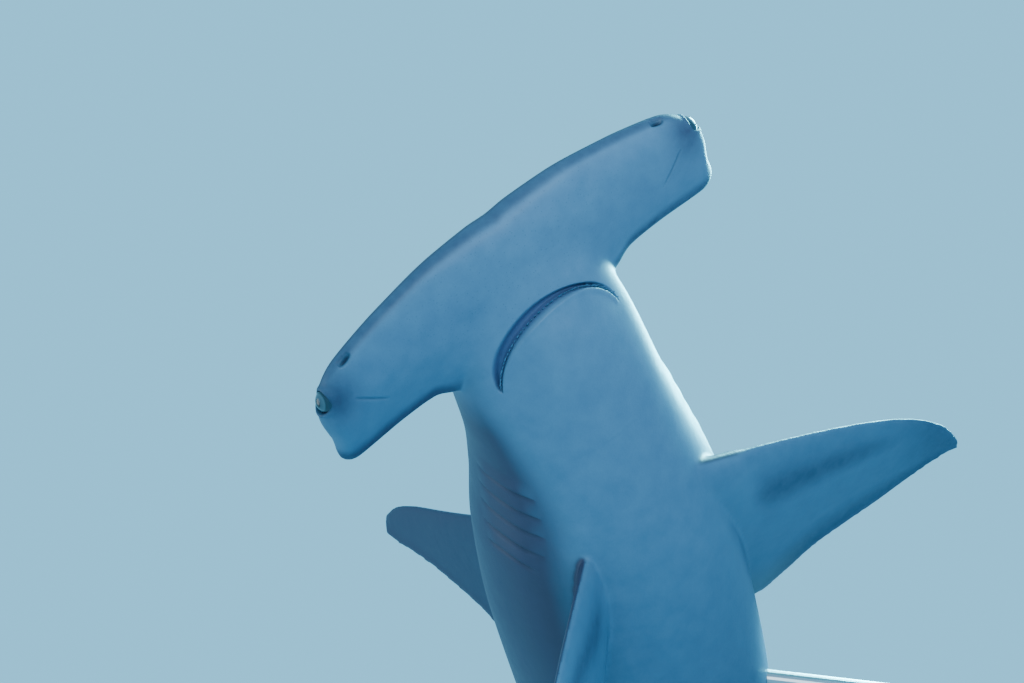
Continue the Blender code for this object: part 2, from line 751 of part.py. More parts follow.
def make_fin(name, carriers):
    """A fin, from its plan, thickness, root origin, tilt, lean, swing, half root and station."""
    plan, thick, origin, tilt, lean, swing, half_root, station = FINS[name]
    place = Vector([tl(value) for value in origin])
    turn = (swung(place, tl(half_root), swing) @ Matrix.Translation(place)
            @ Matrix.Rotation(math.radians(tilt), 4, 'X')
            @ Matrix.Rotation(math.radians(lean), 4, 'Y'))
    rings = [[turn @ (point * LENGTH) for point in ring] for ring in fin_rings(plan, thick)]
    fin = add_object(name, loft(rings, alike=True), PARTS)
    to_world(fin, station)
    cut_clear(fin, carriers)
    return fin


def swung(place, half_root, swing):
    """The pose's turn of a fin about the middle of its root, from angles in degrees."""
    pivot = Matrix.Translation(place - Vector((half_root, 0.0, 0.0)))
    angles = [math.radians(value) for value in swing]
    return pivot @ Euler(angles, 'XYZ').to_matrix().to_4x4() @ pivot.inverted()


def make_tail_fin(carrier):
    """The tail fin: a tall upper lobe, a short lower lobe and the stem that bends up."""
    rings = []
    low = TAIL_PLAN[0][0]
    high = TAIL_PLAN[-1][0]
    heights = sorted({row[0] for row in TAIL_PLAN}
                     | {low + (high - low) * i / TAIL_STATIONS for i in range(TAIL_STATIONS + 1)})
    for height in heights:
        front = curve(TAIL_PLAN, height, 1)
        rear = curve(TAIL_PLAN, height, 2)
        ends = min(1.0, TAIL_TIP[0] + min(high - height, height - low) / TAIL_TIP[1])
        ring = blade_ring(front, rear, TAIL_HALF * ends, height)
        rings.append([bent(point) for point in ring])
    blade = add_object("tail_fin", loft(rings, alike=True), PARTS)
    rings = []
    for i in range(STEM_STATIONS + 1):
        share = STEM_LINE[0][0] + (STEM_LINE[-1][0] - STEM_LINE[0][0]) * i / STEM_STATIONS
        level = curve(STEM_LINE, share, 1)
        half = curve(STEM_LINE, share, 2)
        deep = curve(STEM_LINE, share, 3)
        ring = []
        for k in range(STEM_RING):
            angle = math.tau * k / STEM_RING
            ring.append(bent(Vector((-share, half * math.cos(angle),
                                     level + deep * math.sin(angle)))))
        rings.append(ring)
    combine(blade, [add_object("stem_core", loft(rings), CUTTERS)], 'UNION')
    cut_clear(blade, [carrier])
    return blade


def bent(point):
    """World place of a straight-frame point in shares of length."""
    share = -point.x
    return spine_frame(share) @ Vector((0.0, tl(point.y), tl(point.z)))


def make_stand():
    """A flat base and two rods up to the body."""
    middle = (rod_foot("stand_rod_front") + rod_foot("stand_rod_rear")) / 2
    mesh = bmesh.new()
    bmesh.ops.create_cube(mesh, size=1.0)
    bmesh.ops.scale(mesh, vec=(BASE_LENGTH, BASE_WIDTH, BASE_THICK), verts=mesh.verts)
    upright = [e for e in mesh.edges if abs(e.verts[0].co.z - e.verts[1].co.z) > BASE_THICK / 2]
    bmesh.ops.bevel(mesh, geom=upright, offset=BASE_CORNER,
                    segments=BASE_CORNER_STEPS, profile=0.5, affect='EDGES')
    bmesh.ops.translate(mesh, vec=(0.0, 0.0, BASE_THICK / 2), verts=mesh.verts)
    base = add_object("stand_base", mesh, PARTS)
    rods = []
    for name in ROD_STATIONS:
        foot = rod_foot(name)
        station = spine_frame(ROD_STATIONS[name]).translation
        rods.append(rod(name, foot.x - middle.x, foot.y - middle.y, station.z))
    return base, rods, middle


def rod_foot(name):
    """The place below the body where a rod stands."""
    place = spine_frame(ROD_STATIONS[name]).translation
    return Vector((place.x, place.y, 0.0))


def rod(name, x, y, top):
    """An upright rod with a round foot on the base."""
    mesh = bmesh.new()
    low = BASE_THICK + GAP
    bmesh.ops.create_cone(mesh, cap_ends=True, segments=ROD_SIDES, radius1=ROD_RADIUS,
                          radius2=ROD_RADIUS, depth=top - low - ROD_LIFT)
    bmesh.ops.translate(mesh, vec=(x, y, (top + low + ROD_LIFT) / 2), verts=mesh.verts)
    post = add_object(name, mesh, PARTS)
    mesh = bmesh.new()
    bmesh.ops.create_cone(mesh, cap_ends=True, segments=ROD_SIDES, radius1=ROD_FOOT_RADII[0],
                          radius2=ROD_FOOT_RADII[1], depth=ROD_FOOT_HEIGHT)
    bmesh.ops.translate(mesh, vec=(x, y, low + ROD_FOOT_HEIGHT / 2), verts=mesh.verts)
    combine(post, [add_object("rod_foot", mesh, CUTTERS)], 'UNION')
    return post


def material(name, color, roughness, metallic=0.0):
    """A Principled material."""
    made = bpy.data.materials.new(name)
    made.use_nodes = True
    shader = made.node_tree.nodes["Principled BSDF"]
    shader.inputs["Base Color"].default_value = (*color, 1.0)
    shader.inputs["Roughness"].default_value = roughness
    shader.inputs["Metallic"].default_value = metallic
    return made


def finish(thing, look):
    """Gives a part its own material and smooth shading."""
    thing.data.materials.clear()
    thing.data.materials.append(material(thing.name + "_finish", *look))
    thing.data.shade_smooth()
    thing.data.set_sharp_from_angle(angle=math.radians(SHARP_ANGLE))


SKIN = ((0.16, 0.27, 0.37), 0.45)
FIN_SKIN = ((0.10, 0.18, 0.27), 0.45)
EYE = ((0.02, 0.02, 0.025), 0.10)
STEEL = ((0.55, 0.57, 0.60), 0.30, 1.0)
BASE_LOOK = ((0.72, 0.73, 0.74), 0.55)


def build():
    """Makes every part of the model."""
    head, eyes = make_head()
    gills = body_piece("gill_region", gill_stations(HEAD_END, GILL_END), gills=True)
    chest = body_piece("trunk_front", even_stations(GILL_END, CHEST_END, TRUNK_STATIONS))
    loin = body_piece("trunk_rear", even_stations(CHEST_END, LOIN_END, TRUNK_STATIONS))
    stem = body_piece("tail_stem", even_stations(LOIN_END, STEM_END, TAIL_STEM_STATIONS))
    carriers = {"first_dorsal_fin": [chest], "pectoral_fin_left": [gills, chest],
                "pectoral_fin_right": [gills, chest], "pelvic_fin_left": [loin],
                "pelvic_fin_right": [loin], "second_dorsal_fin": [stem], "anal_fin": [stem]}
    fins = [make_fin(name, carriers[name]) for name in FINS]
    tail = make_tail_fin(stem)
    base, rods, middle = make_stand()
    flesh = [head, gills, chest, loin, stem, tail] + eyes + fins
    for thing in flesh:
        thing.data.transform(Matrix.Translation(-middle))
    for post in rods:
        cut_clear(post, [chest, loin])
    for thing in flesh:
        finish(thing, SKIN)
    for thing in fins:
        finish(thing, FIN_SKIN)
    for thing in eyes:
        finish(thing, EYE)
    for thing in rods:
        finish(thing, STEEL)
    finish(base, BASE_LOOK)


for old in list(bpy.data.objects):
    bpy.data.objects.remove(old)
PARTS = bpy.data.collections.new(COLLECTION)
CUTTERS = bpy.data.collections.new("cutters")
bpy.context.scene.collection.children.link(PARTS)
bpy.context.scene.collection.children.link(CUTTERS)
build()
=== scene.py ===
"""Looks of the life-size hammerhead shark model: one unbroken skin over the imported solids.

The skin is modelled straight, in the animal's own frame: x runs forward with the front of
the head at 0, y is its left and z its back. The spine's course then bends it, and the
whole animal is banked above its stand, as the solids are. Sizes in the tables are shares
of the total length. The world is in metres with +Z up.
"""

import math

import bmesh
import bpy
import numpy as np
from mathutils import Euler, Matrix, Vector

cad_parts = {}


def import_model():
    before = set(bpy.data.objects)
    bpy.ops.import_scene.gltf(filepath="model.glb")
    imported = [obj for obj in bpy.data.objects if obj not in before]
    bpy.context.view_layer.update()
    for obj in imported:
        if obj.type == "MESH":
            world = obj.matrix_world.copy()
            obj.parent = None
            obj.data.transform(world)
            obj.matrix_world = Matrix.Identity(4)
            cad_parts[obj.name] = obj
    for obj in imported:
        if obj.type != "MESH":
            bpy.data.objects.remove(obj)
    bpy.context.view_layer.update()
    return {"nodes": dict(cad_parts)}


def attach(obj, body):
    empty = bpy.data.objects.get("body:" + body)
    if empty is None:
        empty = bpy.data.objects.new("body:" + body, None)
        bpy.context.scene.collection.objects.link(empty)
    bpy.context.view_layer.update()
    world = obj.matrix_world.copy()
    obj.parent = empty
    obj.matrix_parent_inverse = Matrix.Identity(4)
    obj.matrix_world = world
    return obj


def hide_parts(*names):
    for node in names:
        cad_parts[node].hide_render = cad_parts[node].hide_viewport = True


# Driving sizes and attitude, as in the solids
LENGTH = 2.80
TRUNK_HEIGHT = 1.02
PITCH = 10.6
BANK = 39.5
YAW = -4.0
ROD_STATIONS = (0.325, 0.520)

SPINE = (                  # share of length, heading, nose-down pitch, roll, in radians
    (0.00, -0.144, 0.070, -0.061),
    (0.09, -0.144, 0.070, -0.061),
    (0.16, -0.072, 0.039, -0.034),
    (0.22, 0.000, 0.000, 0.000),
    (0.30, 0.000, 0.000, 0.000),
    (0.40, 0.150, 0.000, 0.010),
    (0.52, 0.150, 0.000, 0.020),
    (0.66, 0.000, 0.000, 0.020),
    (0.80, -0.180, 0.000, 0.000),
    (1.00, -0.300, 0.000, 0.000),
)
SPINE_ANCHOR = 0.22
SPINE_STEPS = 200

BODY = (                   # share of length, half width, top and bottom of the section
    (0.012, 0.0260, 0.0100, -0.0110),
    (0.030, 0.0390, 0.0200, -0.0165),
    (0.060, 0.0460, 0.0320, -0.0265),
    (0.090, 0.0502, 0.0414, -0.0384),
    (0.125, 0.0517, 0.0512, -0.0502),
    (0.160, 0.0566, 0.0611, -0.0596),
    (0.200, 0.0645, 0.0709, -0.0665),
    (0.260, 0.0680, 0.0773, -0.0714),
    (0.330, 0.0665, 0.0758, -0.0724),
    (0.420, 0.0581, 0.0670, -0.0660),
    (0.500, 0.0463, 0.0552, -0.0537),
    (0.580, 0.0340, 0.0428, -0.0394),
    (0.660, 0.0231, 0.0310, -0.0271),
    (0.735, 0.0148, 0.0217, -0.0182),
)
WIDEST_LEVEL = -0.10
BACK_POWER = 1.08
BELLY_POWER = 0.90
BODY_STATIONS = 150
BODY_RING = 96

# The hammer of the head
HAMMER_HALF = 0.1190
HAMMER_FRONT = (           # lateral place, how far the front margin lies back
    (0.000, 0.0028),
    (0.010, 0.0016),
    (0.033, 0.0020),
    (0.066, 0.0067),
    (0.092, 0.0127),
    (0.119, 0.0217),
)
HAMMER_REAR = (            # lateral place, how far the rear margin lies back
    (0.000, 0.0840),
    (0.050, 0.0795),
    (0.063, 0.0725),
    (0.085, 0.0712),
    (0.105, 0.0718),
    (0.119, 0.0710),
)
FRONT_CORNER = 0.020
REAR_CORNER = 0.009
TIP_DENT = 0.0022
HAMMER_THICK = ((0.0, 0.0300), (0.05, 0.0240), (0.10, 0.0195), (0.119, 0.0180))
HAMMER_LEVEL = -0.0035
HAMMER_DROOP = 0.0030
HAMMER_BLUNT = 0.80        # below 1 blunts the front margin
HAMMER_TAPER = (0.62, 2.2)  # how much the rear margin thins, and how late
HAMMER_STATIONS = 90
HAMMER_RING = 72

# Fins: height above the root, front edge and rear edge along the body
DORSAL_PLAN = (
    (-0.0257, -0.0051, 0.1069),
    (0.0000, 0.0000, 0.1131),
    (0.0062, 0.0062, 0.1501),
    (0.0164, 0.0164, 0.1429),
    (0.0350, 0.0319, 0.1326),
    (0.0709, 0.0545, 0.1259),
    (0.1121, 0.0771, 0.1275),
    (0.1480, 0.0956, 0.1321),
    (0.1706, 0.1100, 0.1367),
    (0.1835, 0.1239, 0.1378),
)
PECTORAL_PLAN = (
    (-0.0240, -0.0220, 0.0670),
    (0.0000, -0.0150, 0.0742),
    (0.0067, -0.0130, 0.1050),
    (0.0144, -0.0110, 0.1130),
    (0.0227, -0.0085, 0.1138),
    (0.0402, -0.0035, 0.1066),
    (0.0597, 0.0025, 0.0958),
    (0.0793, 0.0090, 0.0898),
    (0.1030, 0.0185, 0.0836),
    (0.1215, 0.0285, 0.0775),
    (0.1421, 0.0448, 0.0721),
    (0.1524, 0.0582, 0.0711),
    (0.1566, 0.0659, 0.0716),
)
PELVIC_PLAN = (
    (-0.014, -0.002, 0.040),
    (0.000, 0.000, 0.043),
    (0.004, 0.002, 0.062),
    (0.009, 0.005, 0.068),
    (0.020, 0.012, 0.055),
    (0.034, 0.022, 0.0475),
    (0.046, 0.032, 0.0470),
    (0.052, 0.0390, 0.0455),
)
SECOND_DORSAL_PLAN = (
    (-0.010, -0.002, 0.042),
    (0.000, 0.000, 0.045),
    (0.003, 0.003, 0.078),
    (0.007, 0.008, 0.070),
    (0.018, 0.019, 0.052),
    (0.034, 0.032, 0.0485),
    (0.046, 0.043, 0.0520),
    (0.051, 0.0490, 0.0535),
)
ANAL_PLAN = (
    (-0.010, -0.002, 0.054),
    (0.000, 0.000, 0.058),
    (0.003, 0.003, 0.086),
    (0.007, 0.007, 0.078),
    (0.016, 0.016, 0.057),
    (0.030, 0.028, 0.0475),
    (0.042, 0.039, 0.0480),
    (0.048, 0.0460, 0.0505),
)
# Name: plan, thickness, origin of the root, tilt, lean, swing angles and half root
FINS = {
    "first_dorsal_fin": (DORSAL_PLAN, 0.0130, (-0.247, 0.0, 0.0765), 0.0, 0.0,
                         (-4.3, 4.2, 5.4), 0.043),
    "pectoral_fin_left": (PECTORAL_PLAN, 0.0120, (-0.196, 0.054, -0.044), -125.1, 0.0,
                          (26.8, 14.3, 3.8), 0.029),
    "pectoral_fin_right": (PECTORAL_PLAN, 0.0120, (-0.196, -0.048, -0.051), 125.1, 0.0,
                           (5.8, -9.5, 20.0), 0.029),
    "pelvic_fin_left": (PELVIC_PLAN, 0.0075, (-0.470, 0.030, -0.050), -138.0, 0.0,
                        (0.0, 0.0, 0.0), 0.0),
    "pelvic_fin_right": (PELVIC_PLAN, 0.0075, (-0.470, -0.030, -0.050), 138.0, 0.0,
                         (0.0, 0.0, 0.0), 0.0),
    "second_dorsal_fin": (SECOND_DORSAL_PLAN, 0.0065, (-0.612, 0.0, 0.0365), 0.0, -6.0,
                          (0.0, 0.0, 0.0), 0.0),
    "anal_fin": (ANAL_PLAN, 0.0065, (-0.600, 0.0, -0.0350), 180.0, -6.0,
                 (0.0, 0.0, 0.0), 0.0),
}
FIN_SIDE = 18
FIN_STATIONS = 60
FIN_EDGE = 0.0009
TAIL_PLAN = (              # height, front edge and rear edge behind the snout
    (-0.120, 0.8330, 0.8370),
    (-0.113, 0.8240, 0.8350),
    (-0.090, 0.8020, 0.8270),
    (-0.060, 0.7760, 0.8170),
    (-0.035, 0.7560, 0.8105),
    (-0.017, 0.7400, 0.8085),
    (0.000, 0.7360, 0.8095),
    (0.020, 0.7360, 0.8150),
    (0.045, 0.7700, 0.8330),
    (0.080, 0.8190, 0.8660),
    (0.115, 0.8680, 0.9060),
    (0.140, 0.9040, 0.9400),
    (0.148, 0.9155, 0.9500),
    (0.153, 0.9225, 0.9680),
    (0.160, 0.9330, 0.9800),
    (0.176, 0.9580, 0.9880),
    (0.190, 0.9830, 0.9950),
    (0.195, 0.9930, 0.9985),
)
TAIL_HALF = 0.0042
TAIL_STATIONS = 140
STEM_LINE = (              # share of length, height, half width, half depth
    (0.720, 0.0018, 0.0160, 0.0212),
    (0.745, 0.0030, 0.0135, 0.0180),
    (0.790, 0.0230, 0.0095, 0.0150),
    (0.850, 0.0750, 0.0055, 0.0095),
    (0.910, 0.1280, 0.0030, 0.0055),
)

# Eyes, nostrils, mouth and gills
EYE_RADIUS = 0.0066
EYE_BACK = 0.0310
EYE_OUT = 0.1100
EYE_TURN = 24.0
LID_REACH = 1.30           # outer radius of the lids, in eye radii
NOSTRIL = (0.0135, 0.0960, 0.0040)      # back, out, half length
NOSTRIL_DEPTH = 0.0022
MOUTH_FRONT = 0.0505
MOUTH_CORNER = 0.0800
MOUTH_HALF = 0.0375
MOUTH_POWER = 1.8
MOUTH_SLOT = 0.0029
MOUTH_DEPTH = 0.0040
CHIN_RAISE = 0.0050
LIP_RAISE = 0.0003
TEETH = 40
TOOTH_LENGTH = 0.0018
TOOTH_PLACE = 0.78
TOOTH_SINK = 0.0008
TOOTH_LEAN = 0.0020
GILL_PLACES = (0.140, 0.152, 0.164, 0.176, 0.1865)
GILL_LEVEL = -0.012
GILL_HALF = (0.021, 0.023, 0.024, 0.023, 0.019)
GILL_RAISE = 0.0008
GILL_SINK = 0.0011
GILL_ZONE = (-0.132, -0.194, 0.026)

NECK_TONE = (-0.74, -0.30)              # from pale to dark, by how far the skin faces up
FLANK_TONE = (-0.80, -0.40)
BROW_TONE = (0.12, 0.44)

VOXEL = 0.0028
SMOOTH_ROUNDS = 14
SNOUT_ROUNDS = 60

# Camera and light
CAMERA_PLACE = (2.6684, -2.6059, 0.5474)
CAMERA_LOOK = (-0.5600, 0.8075, 0.1851)
CAMERA_UP = (0.8280, 0.5534, 0.0907)
CAMERA_LENS = 80.14
FLOOR_RADIUS = 6.5
FLOOR_SIDES = 128
SPOT_ANGLE = 46.0

FLESH = ("head", "gill_region", "trunk_front", "trunk_rear", "tail_stem", "tail_fin",
         "first_dorsal_fin", "second_dorsal_fin", "anal_fin", "pectoral_fin_left",
         "pectoral_fin_right", "pelvic_fin_left", "pelvic_fin_right")


def curve(rows, at, column=1):
    """Smooth values of one column of a table of rows that starts with the place."""
    table = np.array(rows, float)
    place, value = table[:, 0], table[:, column]
    step = np.diff(place)
    slope = np.diff(value) / step
    product = slope[:-1] * slope[1:]
    total = np.where(product > 0, slope[:-1] + slope[1:], 1.0)
    inner = np.where(product > 0, 2 * product / total, 0.0)
    tangent = np.concatenate([slope[:1], inner, slope[-1:]])
    at = np.clip(at, place[0], place[-1])
    i = np.clip(np.searchsorted(place, at, side="right") - 1, 0, len(step) - 1)
    t = (at - place[i]) / step[i]
    return ((2 * t ** 3 - 3 * t ** 2 + 1) * value[i]
            + (t ** 3 - 2 * t ** 2 + t) * step[i] * tangent[i]
            + (3 * t ** 2 - 2 * t ** 3) * value[i + 1]
            + (t ** 3 - t ** 2) * step[i] * tangent[i + 1])


def ramp(value, low, high):
    """Smooth step from 0 at low to 1 at high."""
    t = np.clip((value - low) / (high - low), 0.0, 1.0)
    return t * t * (3 - 2 * t)


def bump(value, middle, reach):
    """Smooth bump of height 1 round a middle."""
    return np.exp(-((value - middle) / reach) ** 2)


def spine_frames():
    """World turns and places along the spine, moved so that the stand is centred."""
    turns = []
    places = []
    place = Vector((0.0, 0.0, 0.0))
    for i in range(SPINE_STEPS + 1):
        share = i / SPINE_STEPS
        heading, pitch, roll = (float(curve(SPINE, share, column)) for column in (1, 2, 3))
        turn = (Matrix.Rotation(heading, 3, 'Z') @ Matrix.Rotation(pitch, 3, 'Y')
                @ Matrix.Rotation(roll, 3, 'X'))
        if i:
            place = place - turn.col[0] * LENGTH / SPINE_STEPS
        turns.append(turn)
        places.append(place.copy())
    at = round(SPINE_ANCHOR * SPINE_STEPS)
    back = turns[at].transposed()
    attitude = (Matrix.Rotation(math.radians(YAW), 3, 'Z')
                @ Matrix.Rotation(math.radians(-PITCH), 3, 'Y')
                @ Matrix.Rotation(math.radians(-BANK), 3, 'X'))
    start = places[at]
    world_turns = np.array([attitude @ back @ turn for turn in turns])
    world_places = np.array([attitude @ (back @ (place - start)) for place in places])
    world_places[:, 2] += TRUNK_HEIGHT
    feet = [world_places[round(s * SPINE_STEPS)] for s in ROD_STATIONS]
    middle = (feet[0] + feet[1]) / 2
    world_places[:, :2] -= middle[:2]
    return world_turns, world_places


TURNS, PLACES = spine_frames()


def bent(points):
    """World places of straight-frame points in metres."""
    at = np.clip(-points[:, 0] / LENGTH, 0.0, 1.0) * SPINE_STEPS
    i = np.minimum(at.astype(int), SPINE_STEPS - 1)
    t = (at - i)[:, None]
    flat = points.copy()
    flat[:, 0] = 0.0
    near = np.einsum('nij,nj->ni', TURNS[i], flat) + PLACES[i]
    far = np.einsum('nij,nj->ni', TURNS[i + 1], flat) + PLACES[i + 1]
    return near * (1 - t) + far * t


def section(share, count):
    """One section of the straight body, in shares of length."""
    half, top, bottom = (curve(BODY, share, column) for column in (1, 2, 3))
    level = (top + bottom) / 2 + WIDEST_LEVEL * (top - bottom) / 2
    angle = np.linspace(0, math.tau, count, endpoint=False)
    side, rise = np.cos(angle), np.sin(angle)
    upper = rise > 0
    y = np.sign(side) * np.abs(side) ** np.where(upper, BACK_POWER, 1.0) * half
    z = level + np.where(upper, rise * (top - level),
                         -np.abs(rise) ** BELLY_POWER * (level - bottom))
    return np.stack([np.full(count, -share), y, z], axis=1)


def hammer_section(y):
    """One fore-and-aft section of the hammer at a lateral place."""
    side = abs(y)
    front = plan_front(side)
    rear = plan_rear(side)
    thick = curve(HAMMER_THICK, side) / 2
    left = max(side - (HAMMER_HALF - thick), 0.0) / thick
    thick *= math.sqrt(max(1 - left * left, 0.0)) * 0.92 + 0.08
    level = HAMMER_LEVEL - HAMMER_DROOP * (side / HAMMER_HALF) ** 2
    angle = np.linspace(0, math.tau, HAMMER_RING, endpoint=False)
    along = (1 - np.cos(angle)) / 2
    bulge = np.sign(np.sin(angle)) * np.abs(np.sin(angle)) ** HAMMER_BLUNT
    taper = 1 - HAMMER_TAPER[0] * along ** HAMMER_TAPER[1]
    dent = TIP_DENT * bump(along, 0.52, 0.30) * bump(side, HAMMER_HALF, 0.006)
    return np.stack([-(front + (rear - front) * along), y - np.copysign(dent, y),
                     level + thick * bulge * taper], axis=1)


def plan_front(side):
    """How far back the hammer's front margin lies, with its rounded corner."""
    left = np.clip((side - HAMMER_HALF + FRONT_CORNER) / FRONT_CORNER, 0.0, 1.0)
    return curve(HAMMER_FRONT, side) + FRONT_CORNER * (1 - np.sqrt(1 - left * left))


def plan_rear(side):
    """How far back the hammer's rear margin lies, with its rounded corner."""
    left = np.clip((side - HAMMER_HALF + REAR_CORNER) / REAR_CORNER, 0.0, 1.0)
    return curve(HAMMER_REAR, side) - REAR_CORNER * (1 - np.sqrt(1 - left * left))


def foil(along):
    """Half thickness of a fin's section along its chord, 1 at its thickest."""
    rest = -0.1260 * along - 0.3516 * along ** 2 + 0.2843 * along ** 3 - 0.1015 * along ** 4
    return (0.2969 * np.sqrt(along) + rest) / 0.1


def blade_ring(front, rear, half, height):
    """One section of a fin, backward from the front edge and round again."""
    step = np.arange(2 * FIN_SIDE)
    near = step < FIN_SIDE
    step = np.where(near, step, 2 * FIN_SIDE - step)
    along = (1 - np.cos(math.pi * step / FIN_SIDE)) / 2
    reach = np.maximum(half * foil(along), np.where(along > 0.01, FIN_EDGE, 0.0))
    reach = np.where(step == FIN_SIDE, 0.0, reach)
    y = np.where(near, reach, -reach)
    return np.stack([-(front + (rear - front) * along), y, np.full(len(y), height)], axis=1)


def fin_rings(plan, thick, flare=0.008):
    """Sections of a fin in its own frame, in shares of length."""
    low, high = plan[0][0], plan[-1][0]
    rings = []
    for height in low + (high - low) * np.linspace(0, 1, FIN_STATIONS + 1):
        share = min(max(height / high, 0.0), 1.0)
        half = thick * (1 - 0.80 * share) / 2 + flare * math.exp(-max(height, 0.0) / flare) / 3
        half *= min(1.0, 0.25 + (high - height) / (0.05 * high))
        rings.append(blade_ring(curve(plan, height, 1), curve(plan, height, 2), half, height))
    return np.array(rings)


def fin_matrix(name):
    """Place of a fin's own frame in the straight frame, in shares of length."""
    origin, tilt, lean, swing, half_root = FINS[name][2:]
    pivot = Matrix.Translation((origin[0] - half_root, origin[1], origin[2]))
    angles = [math.radians(value) for value in swing]
    return np.array(pivot @ Euler(angles, 'XYZ').to_matrix().to_4x4() @ pivot.inverted()
                    @ Matrix.Translation(origin) @ Matrix.Rotation(math.radians(tilt), 4, 'X')
                    @ Matrix.Rotation(math.radians(lean), 4, 'Y'))


def tail_rings():
    """Sections of the tail fin's blade."""
    low, high = TAIL_PLAN[0][0], TAIL_PLAN[-1][0]
    rings = []
    for height in np.linspace(low, high, TAIL_STATIONS + 1):
        half = TAIL_HALF * min(1.0, 0.2 + min(high - height, height - low) / 0.012)
        rings.append(blade_ring(curve(TAIL_PLAN, height, 1), curve(TAIL_PLAN, height, 2),
                                half, height))
    return np.array(rings)


def stem_rings():
    """Sections of the stem that runs up into the tail fin."""
    rings = []
    angle = np.linspace(0, math.tau, 32, endpoint=False)
    for share in np.linspace(STEM_LINE[0][0], STEM_LINE[-1][0], 50):
        level, half, deep = (curve(STEM_LINE, share, column) for column in (1, 2, 3))
        rings.append(np.stack([np.full(32, -share), half * np.cos(angle),
                               level + deep * np.sin(angle)], axis=1))
    return np.array(rings)


def shell(rings):
    """Points and faces of a closed loft through rings."""
    count, across = rings.shape[:2]
    at = np.arange(across)
    after = np.roll(at, -1)
    faces = []
    for i in range(count - 1):
        a, b = i * across, (i + 1) * across
        faces += np.stack([a + at, a + after, b + after, b + at], axis=1).tolist()
    faces.append(list(range(across))[::-1])
    faces.append([(count - 1) * across + k for k in range(across)])
    return rings.reshape(-1, 3), faces


def joined(shells):
    """One mesh object from several closed shells given in shares of length."""
    points = []
    faces = []
    start = 0
    for verts, polygons in shells:
        points.append(verts * LENGTH)
        faces += [[start + k for k in face] for face in polygons]
        start += len(verts)
    return mesh_object("skin", np.concatenate(points), faces)


def mesh_object(name, points, faces):
    """A named mesh object in the scene."""
    data = bpy.data.meshes.new(name)
    data.from_pydata(points.tolist(), [], faces)
    data.update()
    made = bpy.data.objects.new(name, data)
    bpy.context.scene.collection.objects.link(made)
    return made


def places_of(data):
    """Vertex places of a mesh as an array."""
    flat = np.empty(len(data.vertices) * 3)
    data.vertices.foreach_get("co", flat)
    return flat.reshape(-1, 3)


def set_places(data, points):
    """Writes vertex places back to a mesh."""
    data.vertices.foreach_set("co", points.ravel())
    data.update()


def normals_of(data):
    """Vertex normals of a mesh as an array."""
    flat = np.empty(len(data.vertices) * 3)
    data.vertex_normals.foreach_get("vector", flat)
    return flat.reshape(-1, 3)


def edges_of(data):
    """Edges of a mesh as pairs of vertex numbers."""
    flat = np.empty(len(data.edges) * 2, dtype=np.int64)
    data.edges.foreach_get("vertices", flat)
    return flat.reshape(-1, 2)


def softened(points, edges, weight, rounds):
    """Points drawn towards the mean of their neighbours by their own weight."""
    count = len(points)
    ends = np.concatenate([edges[:, 0], edges[:, 1]])
    others = np.concatenate([edges[:, 1], edges[:, 0]])
    degree = np.bincount(ends, minlength=count).clip(1)[:, None]
    for _ in range(rounds):
        mean = np.stack([np.bincount(ends, points[others, k], minlength=count)
                         for k in range(3)], axis=1) / degree
        points = points + (mean - points) * weight[:, None]
    return points


def fin_places(name, shares):
    """Height above a fin's root, place along its chord and how surely it is on the blade."""
    plan = FINS[name][0]
    turn = np.linalg.inv(fin_matrix(name))
    local = shares @ turn[:3, :3].T + turn[:3, 3]
    height = local[:, 2]
    front = curve(plan, height, 1)
    rear = curve(plan, height, 2)
    chord = (-local[:, 0] - front) / (rear - front)
    across = np.abs(local[:, 1])
    sure = ((1 - ramp(across, 0.008, 0.016)) * (height < plan[-1][0] + 0.01)
            * ramp(height, -0.004, 0.014) * ramp(chord, -0.16, -0.02)
            * (1 - ramp(chord, 1.02, 1.16)))
    return height, chord, sure


def mouth_arch(count):
    """The jaw's arch as backward and lateral places, from the right corner to the left."""
    t = np.linspace(-1, 1, count)
    bow = np.abs(np.cos(t * math.pi / 2)) ** (2 / MOUTH_POWER)
    back = MOUTH_CORNER - (MOUTH_CORNER - MOUTH_FRONT) * bow
    return t, np.stack([-back, MOUTH_HALF * np.sin(t * math.pi / 2)], axis=1)


def mouth_places(shares):
    """Distance from the jaw's arch, positive behind it, and the place along it."""
    t, arch = mouth_arch(161)
    gap = np.linalg.norm(shares[:, None, :2] - arch[None], axis=2)
    nearest = gap.argmin(axis=1)
    tangent = np.gradient(arch, axis=0)
    tangent /= np.linalg.norm(tangent, axis=1)[:, None]
    backward = np.stack([-tangent[:, 1], tangent[:, 0]], axis=1)
    offset = shares[:, :2] - arch[nearest]
    sign = np.sign((offset * backward[nearest]).sum(axis=1))
    return gap.min(axis=1) * sign, t[nearest]


def slot_width(t):
    """Width of the mouth's slot, which closes towards the corners and on the left side."""
    return MOUTH_SLOT * (1 - 0.90 * np.abs(t) ** 4) * (1 - 0.60 * ramp(t, -0.25, 0.45))


def segment_bump(shares, start, end, reach):
    """Smooth ridge round a line between two plan places, fading at its ends."""
    start, end = np.array(start), np.array(end)
    run = end - start
    rel = shares[:, :2] - start
    t = np.clip(rel @ run / (run @ run), 0, 1)
    gap = np.linalg.norm(rel - t[:, None] * run, axis=1)
    return bump(gap, 0.0, reach) * np.sqrt(np.clip(4 * t * (1 - t), 0, 1))


def eye_place(side):
    """Centre of an eyeball and the way it looks, in metres in the straight frame."""
    turn = math.radians(EYE_TURN)
    centre = np.array([-EYE_BACK, side * EYE_OUT, HAMMER_LEVEL - HAMMER_DROOP]) * LENGTH
    return centre, np.array([math.sin(turn), side * math.cos(turn), 0.0])


